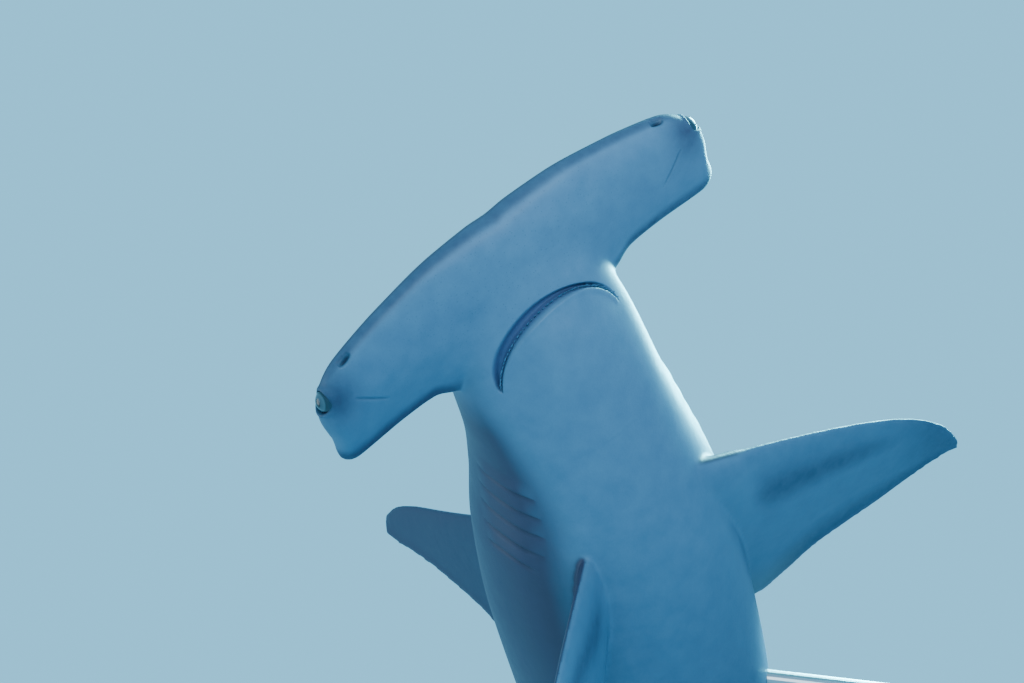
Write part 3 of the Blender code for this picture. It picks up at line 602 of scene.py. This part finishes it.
def skin_mesh():
    """The animal's surface in the straight frame, joined into one mesh without seams."""
    shells = [shell(np.array([section(s, BODY_RING)
                              for s in np.linspace(BODY[0][0], BODY[-1][0], BODY_STATIONS)]))]
    turn = np.pi * np.arange(HAMMER_STATIONS + 1) / HAMMER_STATIONS
    across = -HAMMER_HALF * np.sign(np.cos(turn)) * np.abs(np.cos(turn)) ** 0.72
    shells.append(shell(np.array([hammer_section(y) for y in across])))
    shells.append(shell(tail_rings()))
    shells.append(shell(stem_rings()))
    for name, row in FINS.items():
        rings = fin_rings(row[0], row[1])
        turn = fin_matrix(name)
        shells.append(shell(rings @ turn[:3, :3].T + turn[:3, 3]))
    skin = joined(shells)
    blend = skin.modifiers.new("blend", 'REMESH')
    blend.mode = 'VOXEL'
    blend.voxel_size = VOXEL
    bpy.context.view_layer.update()
    shown = skin.evaluated_get(bpy.context.evaluated_depsgraph_get())
    data = bpy.data.meshes.new_from_object(shown)
    skin.modifiers.clear()
    skin.data = data
    return skin


def refine_skin(skin):
    """Gives mouth, nostrils, lids and gills a finer mesh than the rest of the skin."""
    mesh = bmesh.new()
    mesh.from_mesh(skin.data)
    count = len(mesh.faces)
    middles = np.empty(count * 3)
    skin.data.polygons.foreach_get("center", middles)
    facing = np.empty(count * 3)
    skin.data.polygons.foreach_get("normal", facing)
    shares = middles.reshape(-1, 3) / LENGTH
    facing = facing.reshape(-1, 3)
    side = np.abs(shares[:, 1])
    chosen = ((shares[:, 0] < GILL_ZONE[0]) & (shares[:, 0] > GILL_ZONE[1])
              & (np.abs(shares[:, 2] - GILL_LEVEL) < GILL_ZONE[2]) & (side > 0.03))
    for place, reach in (((NOSTRIL[0], NOSTRIL[1]), 0.009), ((EYE_BACK, HAMMER_HALF), 0.014),
                         ((0.040, 0.0935), 0.011)):
        chosen |= np.hypot(shares[:, 0] + place[0], side - place[1]) < reach
    low = np.flatnonzero((shares[:, 0] < -0.035) & (shares[:, 0] > -0.095)
                         & (side < 0.055) & (facing[:, 2] < 0.1))
    gap, _ = mouth_places(shares[low])
    chosen[low[(gap > -0.011) & (gap < 0.009)]] = True
    mesh.faces.ensure_lookup_table()
    edges = {edge for k in np.flatnonzero(chosen) for edge in mesh.faces[k].edges}
    bmesh.ops.subdivide_edges(mesh, edges=list(edges), cuts=2,
                              use_grid_fill=True)
    mesh.to_mesh(skin.data)
    mesh.free()


def soften_skin(skin):
    """Rounds the joins of fins and head and leaves blades and tips their edges."""
    points = places_of(skin.data)
    shares = points / LENGTH
    weight = np.full(len(points), 0.5)
    for name in FINS:
        height, _, sure = fin_places(name, shares)
        weight = np.minimum(weight, 0.5 - 0.24 * ramp(height, 0.006, 0.022) * (sure > 0))
    tail = shares[:, 0] < -0.75
    weight[tail] = 0.22
    edges = edges_of(skin.data)
    points = softened(points, edges, weight, SMOOTH_ROUNDS)
    snout = (0.5 * ramp(shares[:, 0], -0.075, -0.055) * ramp(-shares[:, 0], 0.006, 0.014)
             * (1 - ramp(np.abs(shares[:, 1]), 0.055, 0.075)))
    points = softened(points, edges, snout, SNOUT_ROUNDS)
    set_places(skin.data, points)


def carve_skin(skin):
    """Adds mouth, chin, gills, nostrils and lids to the surface, and returns masks of painted
    shade in the mouth's gap and of painted shadow in slits, grooves and round the lids.
    """
    points = places_of(skin.data)
    normals = normals_of(skin.data)
    shares = points / LENGTH
    offset = np.zeros(len(points))
    mouth = np.zeros(len(points))
    # Painted shadow: gill slits, nostrils, the groove under each wing and the lids' edges are
    # coloured darker
    crease_shadow = np.zeros(len(points))

    low = np.flatnonzero((shares[:, 0] > -0.125) & (shares[:, 0] < -0.03)
                         & (np.abs(shares[:, 1]) < 0.06) & (normals[:, 2] < 0.1))
    gap, t = mouth_places(shares[low])
    width = slot_width(t)
    ends = 1 - ramp(np.abs(t), 0.92, 1.0)
    slope = ramp(gap, -width * 1.5, width * 0.1) * (1 - ramp(gap, width * 0.55, width * 1.0))
    offset[low] -= MOUTH_DEPTH * LENGTH * slope * ends
    # Painted shade: the mouth's gap and the slope into it are coloured darker
    gape = ramp(gap, -width * 1.4, -width * 0.4) * (1 - ramp(gap, width * 0.70, width * 1.0))
    mouth[low] = gape * ends
    rise = (bump(shares[low, 0], -0.070, 0.030)
            * (1 - ramp(np.abs(shares[low, 1]), 0.004, 0.037)))
    offset[low] += CHIN_RAISE * LENGTH * rise * ramp(gap, width * 0.4, width * 1.4)
    lip = bump(gap, width * 1.1 + 0.0008, 0.0014)
    offset[low] += LIP_RAISE * LENGTH * lip * ends

    for place, half in zip(GILL_PLACES, GILL_HALF):
        reach = (shares[:, 2] - GILL_LEVEL) / half
        line = place + 0.0035 * reach ** 2 - 0.0030 * reach
        back = -shares[:, 0] - line
        fade = 1 - ramp(np.abs(reach), 0.45, 1.0)
        fade *= ramp(np.abs(shares[:, 1]), 0.024, 0.040) * (np.abs(back) < 0.012)
        flap = np.where(back < 0, ramp(back, -0.0095, -0.0004), 0.0)
        slit = np.where(back >= 0, 1 - ramp(back, 0.0006, 0.0048), 0.0)
        offset += LENGTH * fade * (GILL_RAISE * flap - GILL_SINK * slit)
        # Painted shadow along the gill slit
        crease_shadow = np.maximum(crease_shadow, fade * (1 - ramp(np.abs(back - 0.0006), 0.0, 0.0022)))

    for side in (1, -1):
        back, out, half = NOSTRIL
        slope = (curve(HAMMER_FRONT, out + 0.005) - curve(HAMMER_FRONT, out - 0.005)) / 0.01
        along = np.array([-slope, side]) / math.hypot(slope, 1)
        rel = shares[:, :2] - np.array([-back - 0.0015, side * out])
        run = rel @ along
        across = rel @ np.array([along[1], -along[0]])
        lens = np.sqrt(np.clip(1 - (run / half) ** 2, 0.0, 1.0))
        slot = lens * bump(across, 0.0, 0.0009 * (0.35 + 0.65 * lens))
        slot *= normals[:, 2] < -0.1
        offset -= NOSTRIL_DEPTH * LENGTH * slot
        # Painted shadow in the nostril's slot
        crease_shadow = np.maximum(crease_shadow, 1.5 * slot)
        groove = segment_bump(shares, (-0.0330, side * 0.1010), (-0.0470, side * 0.0860), 0.0007)
        groove *= normals[:, 2] < -0.3
        offset -= 0.0006 * LENGTH * groove
        # Painted shadow in the groove under the wing
        crease_shadow = np.maximum(crease_shadow, 0.45 * groove)
        centre, look = eye_place(side)
        rel = points - centre
        ahead = rel @ look
        aside = np.linalg.norm(rel - ahead[:, None] * look, axis=1) / (EYE_RADIUS * LENGTH)
        near = (aside < 2.2) & (ahead > -EYE_RADIUS * LENGTH)
        radius = EYE_RADIUS * LENGTH
        dome = np.sqrt(np.clip(1 - np.minimum(aside, 0.98) ** 2, 0, 1)) * radius
        opening = 1 - ramp(aside, 0.74, 0.86)
        lid = bump(aside, 1.0, 0.17)
        target = ahead * (1 - opening) + np.minimum(ahead, dome - 0.004) * opening
        target += lid * 0.0022
        # Painted shadow where the lid meets the eye
        crease_shadow = np.where(near, np.maximum(crease_shadow, bump(aside, 0.84, 0.10) * 0.9), crease_shadow)
        points = np.where(near[:, None], points + (target - ahead)[:, None] * look, points)

    points = points + normals * offset[:, None]
    set_places(skin.data, points)
    return mouth, crease_shadow


def paint_masks(skin, mouth, crease_shadow):
    """Works out how dark and warm each place of the skin is, and how much darker fin and margin
    colour and painted shade it gets, and stores it.
    """
    points = places_of(skin.data)
    normals = normals_of(skin.data)
    shares = points / LENGTH
    back = -shares[:, 0]
    side = np.abs(shares[:, 1])
    trunk = ramp(back, 0.066, 0.108)
    along = ramp(back, 0.095, 0.165)
    low, high = (NECK_TONE[k] + (FLANK_TONE[k] - NECK_TONE[k]) * along for k in (0, 1))
    flank = ramp(normals[:, 2], low, high)
    brow = ramp(normals[:, 2], BROW_TONE[0], BROW_TONE[1])
    dark = flank * trunk + brow * (1 - trunk)
    dusky_and_shade = np.zeros(len(points))
    warm = np.zeros(len(points))
    wing = (1 - trunk) * ramp(side, 0.040, 0.055)
    rear = 1 - ramp(plan_rear(side) - back, 0.0040, 0.0120)
    front = 1 - ramp(back - plan_front(side), 0.0004, 0.0026)
    tip = 1 - ramp(HAMMER_HALF - side, 0.0004, 0.0030)
    blotch = np.exp(-(((back - 0.027) / 0.014) ** 2 + ((side - 0.109) / 0.011) ** 2))
    upright = 1 - ramp(np.abs(normals[:, 1]), 0.45, 0.75) * (side < 0.09)
    rim = np.maximum(np.maximum(0.80 * rear * wing * upright, 0.35 * tip), 0.75 * blotch)
    rim = np.maximum(rim, 0.60 * front) * (1 - ramp(back, 0.080, 0.092))
    dusky_and_shade = np.maximum(dusky_and_shade, rim)
    for name in FINS:
        height, chord, sure = fin_places(name, shares)
        part = np.clip(height / FINS[name][0][-1][0], 0, 1)
        if name.startswith("pectoral"):
            under = (normals @ fin_matrix(name)[:3, :3])[:, 1] * (1 if "left" in name else -1)
            upper = 1 - ramp(under, -0.35, 0.10)
            dark = dark * (1 - sure) + upper * sure
            # Painted shade: a darker strip along the middle of the pectoral's underside
            shade_band = 0.60 * bump(chord, 0.26, 0.11) * ramp(part, 0.02, 0.14) * (
                1 - 0.7 * ramp(part, 0.40, 0.75))
            tip = 0.50 * ramp(part, 0.55, 0.95)
            trail = 0.65 * ramp(chord, 0.60, 0.95) * ramp(part, 0.06, 0.30)
            shade = np.maximum(np.maximum(shade_band, tip), trail)
            glow = 0.8 * ramp(chord, 0.72, 0.98) * (1 - ramp(part, 0.18, 0.42))
        else:
            # Fins darker towards the root: their own darker colour, with painted shade where the
            # fin meets the body
            shade = 1.0 - 0.65 * ramp(part, 0.10, 0.80) + 0.10 * ramp(chord, 0.75, 1.0)
            glow = 0.25 * ramp(chord, 0.9, 1.0)
        dusky_and_shade = np.maximum(dusky_and_shade, np.clip(shade, 0, 1) * sure)
        warm = np.maximum(warm, glow * sure)
    dusky_and_shade = np.maximum(dusky_and_shade, 0.5 * ramp(back, 0.86, 0.97))
    dusky_and_shade = np.maximum(dusky_and_shade, 0.22 * ramp(back, 0.19, 0.32))
    dusky_and_shade = np.maximum(dusky_and_shade, 0.55 * ramp(normals[:, 2], -0.25, 0.35) * ramp(back, 0.10, 0.16))
    pores = (ramp(-normals[:, 2], 0.2, 0.6) * ramp(-back, -0.060, -0.040)
             * bump(side, 0.0, 0.085))
    for name, values in (("dark", dark), ("dusky_and_shade", dusky_and_shade), ("warm", warm), ("pores", pores),
                         ("mouth", mouth), ("crease_shadow", crease_shadow)):
        layer = skin.data.attributes.new(name, 'FLOAT', 'POINT')
        layer.data.foreach_set("value", values.astype(np.float32))
    layer = skin.data.attributes.new("rest", 'FLOAT_VECTOR', 'POINT')
    layer.data.foreach_set("vector", points.astype(np.float32).ravel())


class Tree:
    """Short ways to build a node material."""

    def __init__(self, name):
        self.material = bpy.data.materials.new(name)
        self.material.use_nodes = True
        self.tree = self.material.node_tree
        self.shader = self.tree.nodes["Principled BSDF"]

    def node(self, kind, values=(), **settings):
        """Adds a node, sets it up and feeds its inputs with numbers or sockets."""
        made = self.tree.nodes.new(kind)
        for key, value in settings.items():
            setattr(made, key, value)
        for key, value in dict(values).items():
            self.feed(made.inputs[key], value)
        return made

    def feed(self, socket, value):
        """Links a socket, or sets its number."""
        if isinstance(value, bpy.types.NodeSocket):
            self.tree.links.new(value, socket)
        else:
            socket.default_value = value

    def attribute(self, name, output="Fac"):
        """A named value that the mesh carries."""
        return self.node("ShaderNodeAttribute", attribute_name=name).outputs[output]

    def noise(self, vector, scale, detail=4.0, roughness=0.55):
        """Fractal noise between 0 and 1."""
        made = self.node("ShaderNodeTexNoise", {"Vector": vector, "Scale": scale,
                                                "Detail": detail, "Roughness": roughness})
        return made.outputs["Fac"]

    def math(self, operation, first, second=0.0, clamp=False):
        """Arithmetic on two values."""
        made = self.node("ShaderNodeMath", {0: first, 1: second}, operation=operation,
                         use_clamp=clamp)
        return made.outputs[0]

    def mix(self, factor, first, second, blend='MIX'):
        """Mixes two colours."""
        made = self.node("ShaderNodeMix", data_type='RGBA', blend_type=blend)
        self.feed(made.inputs[0], factor)
        self.feed(made.inputs[6], first)
        self.feed(made.inputs[7], second)
        return made.outputs[2]

    def spread(self, value, low, high, clamp=True):
        """Maps 0..1 to a range."""
        made = self.node("ShaderNodeMapRange", {"Value": value, "To Min": low, "To Max": high},
                         clamp=clamp)
        return made.outputs[0]

    def bump(self, height, distance, strength=1.0, under=None):
        """Bump from a height, on top of another bump."""
        values = {"Height": height, "Distance": distance, "Strength": strength}
        if under is not None:
            values["Normal"] = under
        return self.node("ShaderNodeBump", values).outputs[0]


def rgb(red, green, blue):
    """Scene colour from display values of 0 to 255."""
    parts = []
    for value in (red, green, blue):
        value /= 255
        parts.append(value / 12.92 if value <= 0.04045 else ((value + 0.055) / 1.055) ** 2.4)
    return (*parts, 1.0)


def skin_material():
    """Countershaded blue-grey skin with darker fins, painted shade on the fins, in the mouth's
    gap, slits and grooves, and a fine grain.
    """
    t = Tree("shark_skin")
    rest = t.attribute("rest", "Vector")
    broad = t.noise(rest, 7.0, 3.0)
    patch = t.noise(rest, 34.0, 5.0)
    grain = t.noise(rest, 520.0, 3.0, 0.6)
    dark = t.attribute("dark")
    wander = t.math('MULTIPLY', t.math('SUBTRACT', patch, 0.5), 0.30)
    wander = t.math('ADD', wander, t.math('MULTIPLY', t.math('SUBTRACT', broad, 0.5), 0.35))
    edge = t.math('MULTIPLY', dark, t.math('SUBTRACT', 1.0, dark))
    shade = t.math('ADD', dark, t.math('MULTIPLY', t.math('MULTIPLY', edge, 4.0), wander), True)
    belly = t.mix(t.spread(patch, -0.2, 1.2), rgb(80, 111, 136), rgb(96, 127, 150))
    back = t.mix(t.spread(patch, 0.1, 0.9), rgb(53, 51, 70), rgb(66, 66, 88))
    colour = t.mix(shade, belly, back)
    speck = t.noise(rest, 60.0, 5.0, 0.6)
    dusky_and_shade = t.math('MULTIPLY', t.attribute("dusky_and_shade"), t.spread(speck, 0.60, 1.40, False), True)
    # Darker fin, margin and tail colour, together with painted shade on the fins
    colour = t.mix(dusky_and_shade, colour, rgb(48, 52, 77))
    colour = t.mix(t.math('MULTIPLY', t.attribute("warm"), 0.6), colour, rgb(112, 112, 112))
    # Painted shadow in slits, grooves and round the lids
    colour = t.mix(t.math('MULTIPLY', t.attribute("crease_shadow"), 0.70), colour, rgb(26, 44, 66))
    # Painted shade in the mouth's gap
    colour = t.mix(t.attribute("mouth"), colour, rgb(70, 90, 124))
    pore = t.node("ShaderNodeTexVoronoi", {"Vector": rest, "Scale": 170.0,
                                           "Randomness": 1.0}).outputs["Distance"]
    dot = t.math('MULTIPLY', t.math('LESS_THAN', pore, 0.16), t.attribute("pores"))
    colour = t.mix(t.math('MULTIPLY', dot, 0.22), colour, rgb(30, 56, 80))
    fleck = t.spread(grain, 0.93, 1.07)
    colour = t.mix(1.0, colour, fleck, 'MULTIPLY')
    t.feed(t.shader.inputs["Base Color"], colour)
    t.feed(t.shader.inputs["Roughness"], t.spread(patch, 0.42, 0.60))
    t.shader.inputs["Specular IOR Level"].default_value = 0.25
    t.shader.inputs["Coat Weight"].default_value = 0.06
    t.shader.inputs["Coat Roughness"].default_value = 0.30
    rough = t.bump(grain, 0.0006, 0.35)
    folds = t.bump(patch, 0.0020, 0.30, rough)
    t.feed(t.shader.inputs["Normal"], t.bump(broad, 0.006, 0.25, folds))
    return t.material


def eye_material():
    """Glossy eye: dark pupil, a pale iris that brightens outwards, and a dark outer ring, by the
    look direction.
    """
    t = Tree("shark_eye")
    look = t.attribute("gaze")
    iris = t.node("ShaderNodeValToRGB", {"Fac": look})
    stops = iris.color_ramp
    stops.elements[0].position = 0.0
    stops.elements[0].color = rgb(10, 12, 16)
    stops.elements[1].position = 0.30
    stops.elements[1].color = rgb(12, 14, 18)
    for place, colour in ((0.34, rgb(58, 74, 86)), (0.62, rgb(76, 94, 104)),
                          (0.70, rgb(34, 46, 58)), (1.0, rgb(38, 54, 68))):
        stops.elements.new(place).color = colour
    streak = t.noise(t.attribute("ray", "Vector"), 26.0, 4.0)
    colour = t.mix(1.0, iris.outputs[0], t.spread(streak, 0.72, 1.18), 'MULTIPLY')
    t.feed(t.shader.inputs["Base Color"], colour)
    t.feed(t.shader.inputs["Roughness"], t.spread(streak, 0.16, 0.26))
    t.shader.inputs["Coat Weight"].default_value = 0.2
    t.shader.inputs["Coat Roughness"].default_value = 0.08
    return t.material


def tooth_material():
    """Teeth whose own ivory is painted over in a shaded blue-grey, as they stand in the mouth's
    shade; the tone differs at random.
    """
    t = Tree("shark_tooth")
    place = t.node("ShaderNodeTexCoord").outputs["Object"]
    tone = t.noise(place, 300.0)
    # Painted shade: a blue-grey in place of the teeth's own ivory
    t.feed(t.shader.inputs["Base Color"], t.mix(tone, rgb(74, 116, 144), rgb(94, 134, 160)))
    t.feed(t.shader.inputs["Roughness"], t.spread(tone, 0.20, 0.34))
    return t.material


def steel_material():
    """Brushed steel with fine marks round the rod."""
    t = Tree("rod_steel")
    place = t.node("ShaderNodeTexCoord").outputs["Object"]
    stretched = t.node("ShaderNodeMapping", {"Vector": place, "Scale": (18.0, 18.0, 900.0)})
    lines = t.noise(stretched.outputs[0], 1.0, 4.0, 0.65)
    smear = t.noise(place, 9.0, 3.0)
    colour = t.mix(lines, rgb(168, 172, 176), rgb(204, 207, 210))
    t.feed(t.shader.inputs["Base Color"], t.mix(t.spread(smear, 0.0, 0.25), colour,
                                                rgb(150, 154, 158)))
    t.shader.inputs["Metallic"].default_value = 1.0
    t.feed(t.shader.inputs["Roughness"], t.spread(lines, 0.22, 0.42))
    t.feed(t.shader.inputs["Normal"], t.bump(lines, 0.0002, 0.4))
    return t.material


def paint_material():
    """Matt pale paint with a faint orange peel."""
    t = Tree("base_paint")
    place = t.node("ShaderNodeTexCoord").outputs["Object"]
    peel = t.noise(place, 260.0, 2.0)
    scuff = t.noise(place, 5.0, 5.0, 0.6)
    t.feed(t.shader.inputs["Base Color"], t.mix(scuff, rgb(206, 210, 213), rgb(218, 221, 223)))
    t.feed(t.shader.inputs["Roughness"], t.spread(scuff, 0.48, 0.66))
    t.feed(t.shader.inputs["Normal"], t.bump(peel, 0.0003, 0.5))
    return t.material


def floor_material():
    """Plain pale studio floor."""
    t = Tree("studio_floor")
    place = t.node("ShaderNodeTexCoord").outputs["Object"]
    tone = t.noise(place, 1.5, 3.0)
    t.feed(t.shader.inputs["Base Color"], t.mix(tone, rgb(188, 228, 248), rgb(194, 232, 250)))
    t.shader.inputs["Roughness"].default_value = 0.8
    return t.material


def make_eye(side, name):
    """An eyeball with a bulging cornea and a level pupil."""
    centre, look = eye_place(side)
    radius = EYE_RADIUS * LENGTH
    rings, across = 40, 64
    turn = np.array(Vector(look.tolist()).to_track_quat('Z', 'Y').to_matrix())
    polar = np.pi * (np.arange(rings + 1) / rings)
    rows = []
    for angle in polar:
        grown = radius * (0.985 + 0.045 * bump(angle, 0.0, 0.55))
        around = np.linspace(0, math.tau, across, endpoint=False)
        rows.append(np.stack([np.sin(angle) * np.cos(around), np.sin(angle) * np.sin(around),
                              np.full(across, np.cos(angle))], axis=1) * grown)
    local = np.array(rows)
    local[0, :, :2] = local[0, :, :2] * 0 + 1e-5 * np.stack(
        [np.cos(around), np.sin(around)], axis=1)
    local[-1, :, :2] = local[0, :, :2]
    points, faces = shell(local)
    aside = np.linalg.norm(points[:, :2], axis=1) / radius
    gaze = np.where(points[:, 2] > 0, aside, 1.0)
    straight = points @ turn.T + centre
    eye = mesh_object(name + "_ball", bent(straight), faces)
    layer = eye.data.attributes.new("gaze", 'FLOAT', 'POINT')
    layer.data.foreach_set("value", gaze.astype(np.float32))
    ray = points / np.maximum(np.linalg.norm(points, axis=1), 1e-9)[:, None]
    layer = eye.data.attributes.new("ray", 'FLOAT_VECTOR', 'POINT')
    layer.data.foreach_set("vector", ray.astype(np.float32).ravel())
    return eye


def make_teeth(points, normals):
    """A row of small uneven teeth that stands on the lower jaw's edge."""
    low = (normals[:, 2] < -0.3) & (points[:, 0] > -0.13 * LENGTH)
    under = points[low] / LENGTH
    shells = []
    t, arch = mouth_arch(TEETH + 4)
    tangent = np.gradient(arch, axis=0)
    tangent /= np.linalg.norm(tangent, axis=1)[:, None]
    for k in range(2, TEETH + 2):
        along = np.array([tangent[k, 0], tangent[k, 1], 0.0])
        behind = np.array([-tangent[k, 1], tangent[k, 0], 0.0])
        root = arch[k] + behind[:2] * slot_width(t[k]) * TOOTH_PLACE
        nearest = np.linalg.norm(under[:, :2] - root, axis=1).argmin()
        base = np.array([root[0], root[1], under[nearest, 2] + TOOTH_SINK])
        size = (0.75 + 0.25 * math.cos(t[k] * math.pi / 2)) * (1 + 0.30 * math.sin(k * 2.3))
        rings = []
        for step in np.linspace(0, 1, 6):
            middle = (base - behind * TOOTH_LEAN * step * size
                      - np.array([0.0, 0.0, TOOTH_LENGTH]) * step * size
                      + along * np.sign(t[k]) * 0.0005 * step ** 2)
            wide = 0.00085 * size * (1 - step) ** 0.75 + 0.00004
            deep = 0.00045 * size * (1 - step) ** 0.75 + 0.00003
            rings.append([middle + along * wide * math.cos(a) + behind * deep * math.sin(a)
                          for a in np.linspace(0, math.tau, 8, endpoint=False)])
        shells.append(shell(np.array(rings)))
    teeth = joined(shells)
    teeth.name = "teeth"
    set_places(teeth.data, bent(places_of(teeth.data)))
    return teeth


def smooth_shaded(thing, look):
    """Gives a piece its material and smooth shading."""
    thing.data.materials.clear()
    thing.data.materials.append(look)
    thing.data.shade_smooth()


def area_light(name, place, aim, size, power):
    """A large soft light of a faintly blue white."""
    data = bpy.data.lights.new(name, 'AREA')
    data.shape = 'DISK'
    data.size = size
    data.energy = power
    data.color = (0.80, 0.93, 1.0)
    place_light(name, data, place, aim)


def spot_light(name, place, aim, radius, power, colour):
    """A soft light whose narrow cone keeps it off the floor."""
    data = bpy.data.lights.new(name, 'SPOT')
    data.shadow_soft_size = radius
    data.spot_size = math.radians(SPOT_ANGLE)
    data.spot_blend = 0.6
    data.energy = power
    data.color = colour
    place_light(name, data, place, aim)


def place_light(name, data, place, aim):
    """Puts a light in the scene, turned to what it lights."""
    lamp = bpy.data.objects.new(name, data)
    lamp.location = place
    lamp.rotation_euler = (Vector(aim) - Vector(place)).to_track_quat('-Z', 'Y').to_euler()
    lamp.visible_camera = False
    bpy.context.scene.collection.objects.link(lamp)


def make_camera():
    """The photograph's viewpoint."""
    data = bpy.data.cameras.new("camera")
    data.lens = CAMERA_LENS
    data.sensor_width = 36.0
    data.clip_end = 100.0
    back = -Vector(CAMERA_LOOK).normalized()
    up = Vector(CAMERA_UP)
    up = (up - back * up.dot(back)).normalized()
    right = up.cross(back)
    turn = Matrix((right, up, back)).transposed().to_4x4()
    camera = bpy.data.objects.new("camera", data)
    camera.matrix_world = Matrix.Translation(CAMERA_PLACE) @ turn
    bpy.context.scene.collection.objects.link(camera)
    bpy.context.scene.camera = camera


def make_studio():
    """A pale round floor in a plain pale surrounding, with soft lights."""
    turn = np.linspace(0, math.tau, FLOOR_SIDES, endpoint=False)
    rim = np.stack([FLOOR_RADIUS * np.cos(turn), FLOOR_RADIUS * np.sin(turn),
                    np.zeros(FLOOR_SIDES)], axis=1)
    floor = mesh_object("floor", rim, [list(range(FLOOR_SIDES))])
    floor.data.materials.append(floor_material())
    world = bpy.data.worlds.new("studio")
    world.use_nodes = True
    sky = world.node_tree.nodes["Background"]
    sky.inputs["Color"].default_value = rgb(126, 212, 252)
    sky.inputs["Strength"].default_value = 1.3
    bpy.context.scene.world = world
    spot_light("rim_light", (0.02, 2.04, 0.43), (0.6, 0.0, 1.0), 0.35, 620, (0.18, 0.82, 1.0))
    spot_light("side_light", (0.9, 2.05, 0.40), (0.6, -0.05, 1.05), 0.5, 1400,
               (0.22, 0.87, 1.0))
    area_light("top_light", (0.3, -1.0, 4.8), (0.2, 0.0, 0.9), 2.5, 40)
    area_light("front_light", (3.8, -1.5, 0.9), (0.5, 0.0, 1.0), 1.6, 38)
    spot_light("low_light", (1.9, -0.6, 0.35), (1.1, 0.05, 0.97), 0.2, 24, (0.80, 0.93, 1.0))


def main():
    """Dresses the frame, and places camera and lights."""
    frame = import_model()
    make_camera()
    make_studio()

    skin = skin_mesh()
    soften_skin(skin)
    refine_skin(skin)
    soft = places_of(skin.data), normals_of(skin.data)
    teeth = make_teeth(*soft)
    mouth, crease_shadow = carve_skin(skin)
    paint_masks(skin, mouth, crease_shadow)
    set_places(skin.data, bent(places_of(skin.data)))
    smooth_shaded(skin, skin_material())
    smooth_shaded(teeth, tooth_material())
    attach(skin, "root")
    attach(teeth, "root")
    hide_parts(*FLESH)
    look = eye_material()
    for side, name in ((1, "eye_left"), (-1, "eye_right")):
        eye = make_eye(side, name)
        smooth_shaded(eye, look)
        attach(eye, "root")
        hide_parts(name)
    steel = steel_material()
    for name in ("stand_rod_front", "stand_rod_rear"):
        frame["nodes"][name].data.materials.clear()
        frame["nodes"][name].data.materials.append(steel)
    frame["nodes"]["stand_base"].data.materials.clear()
    frame["nodes"]["stand_base"].data.materials.append(paint_material())


main()
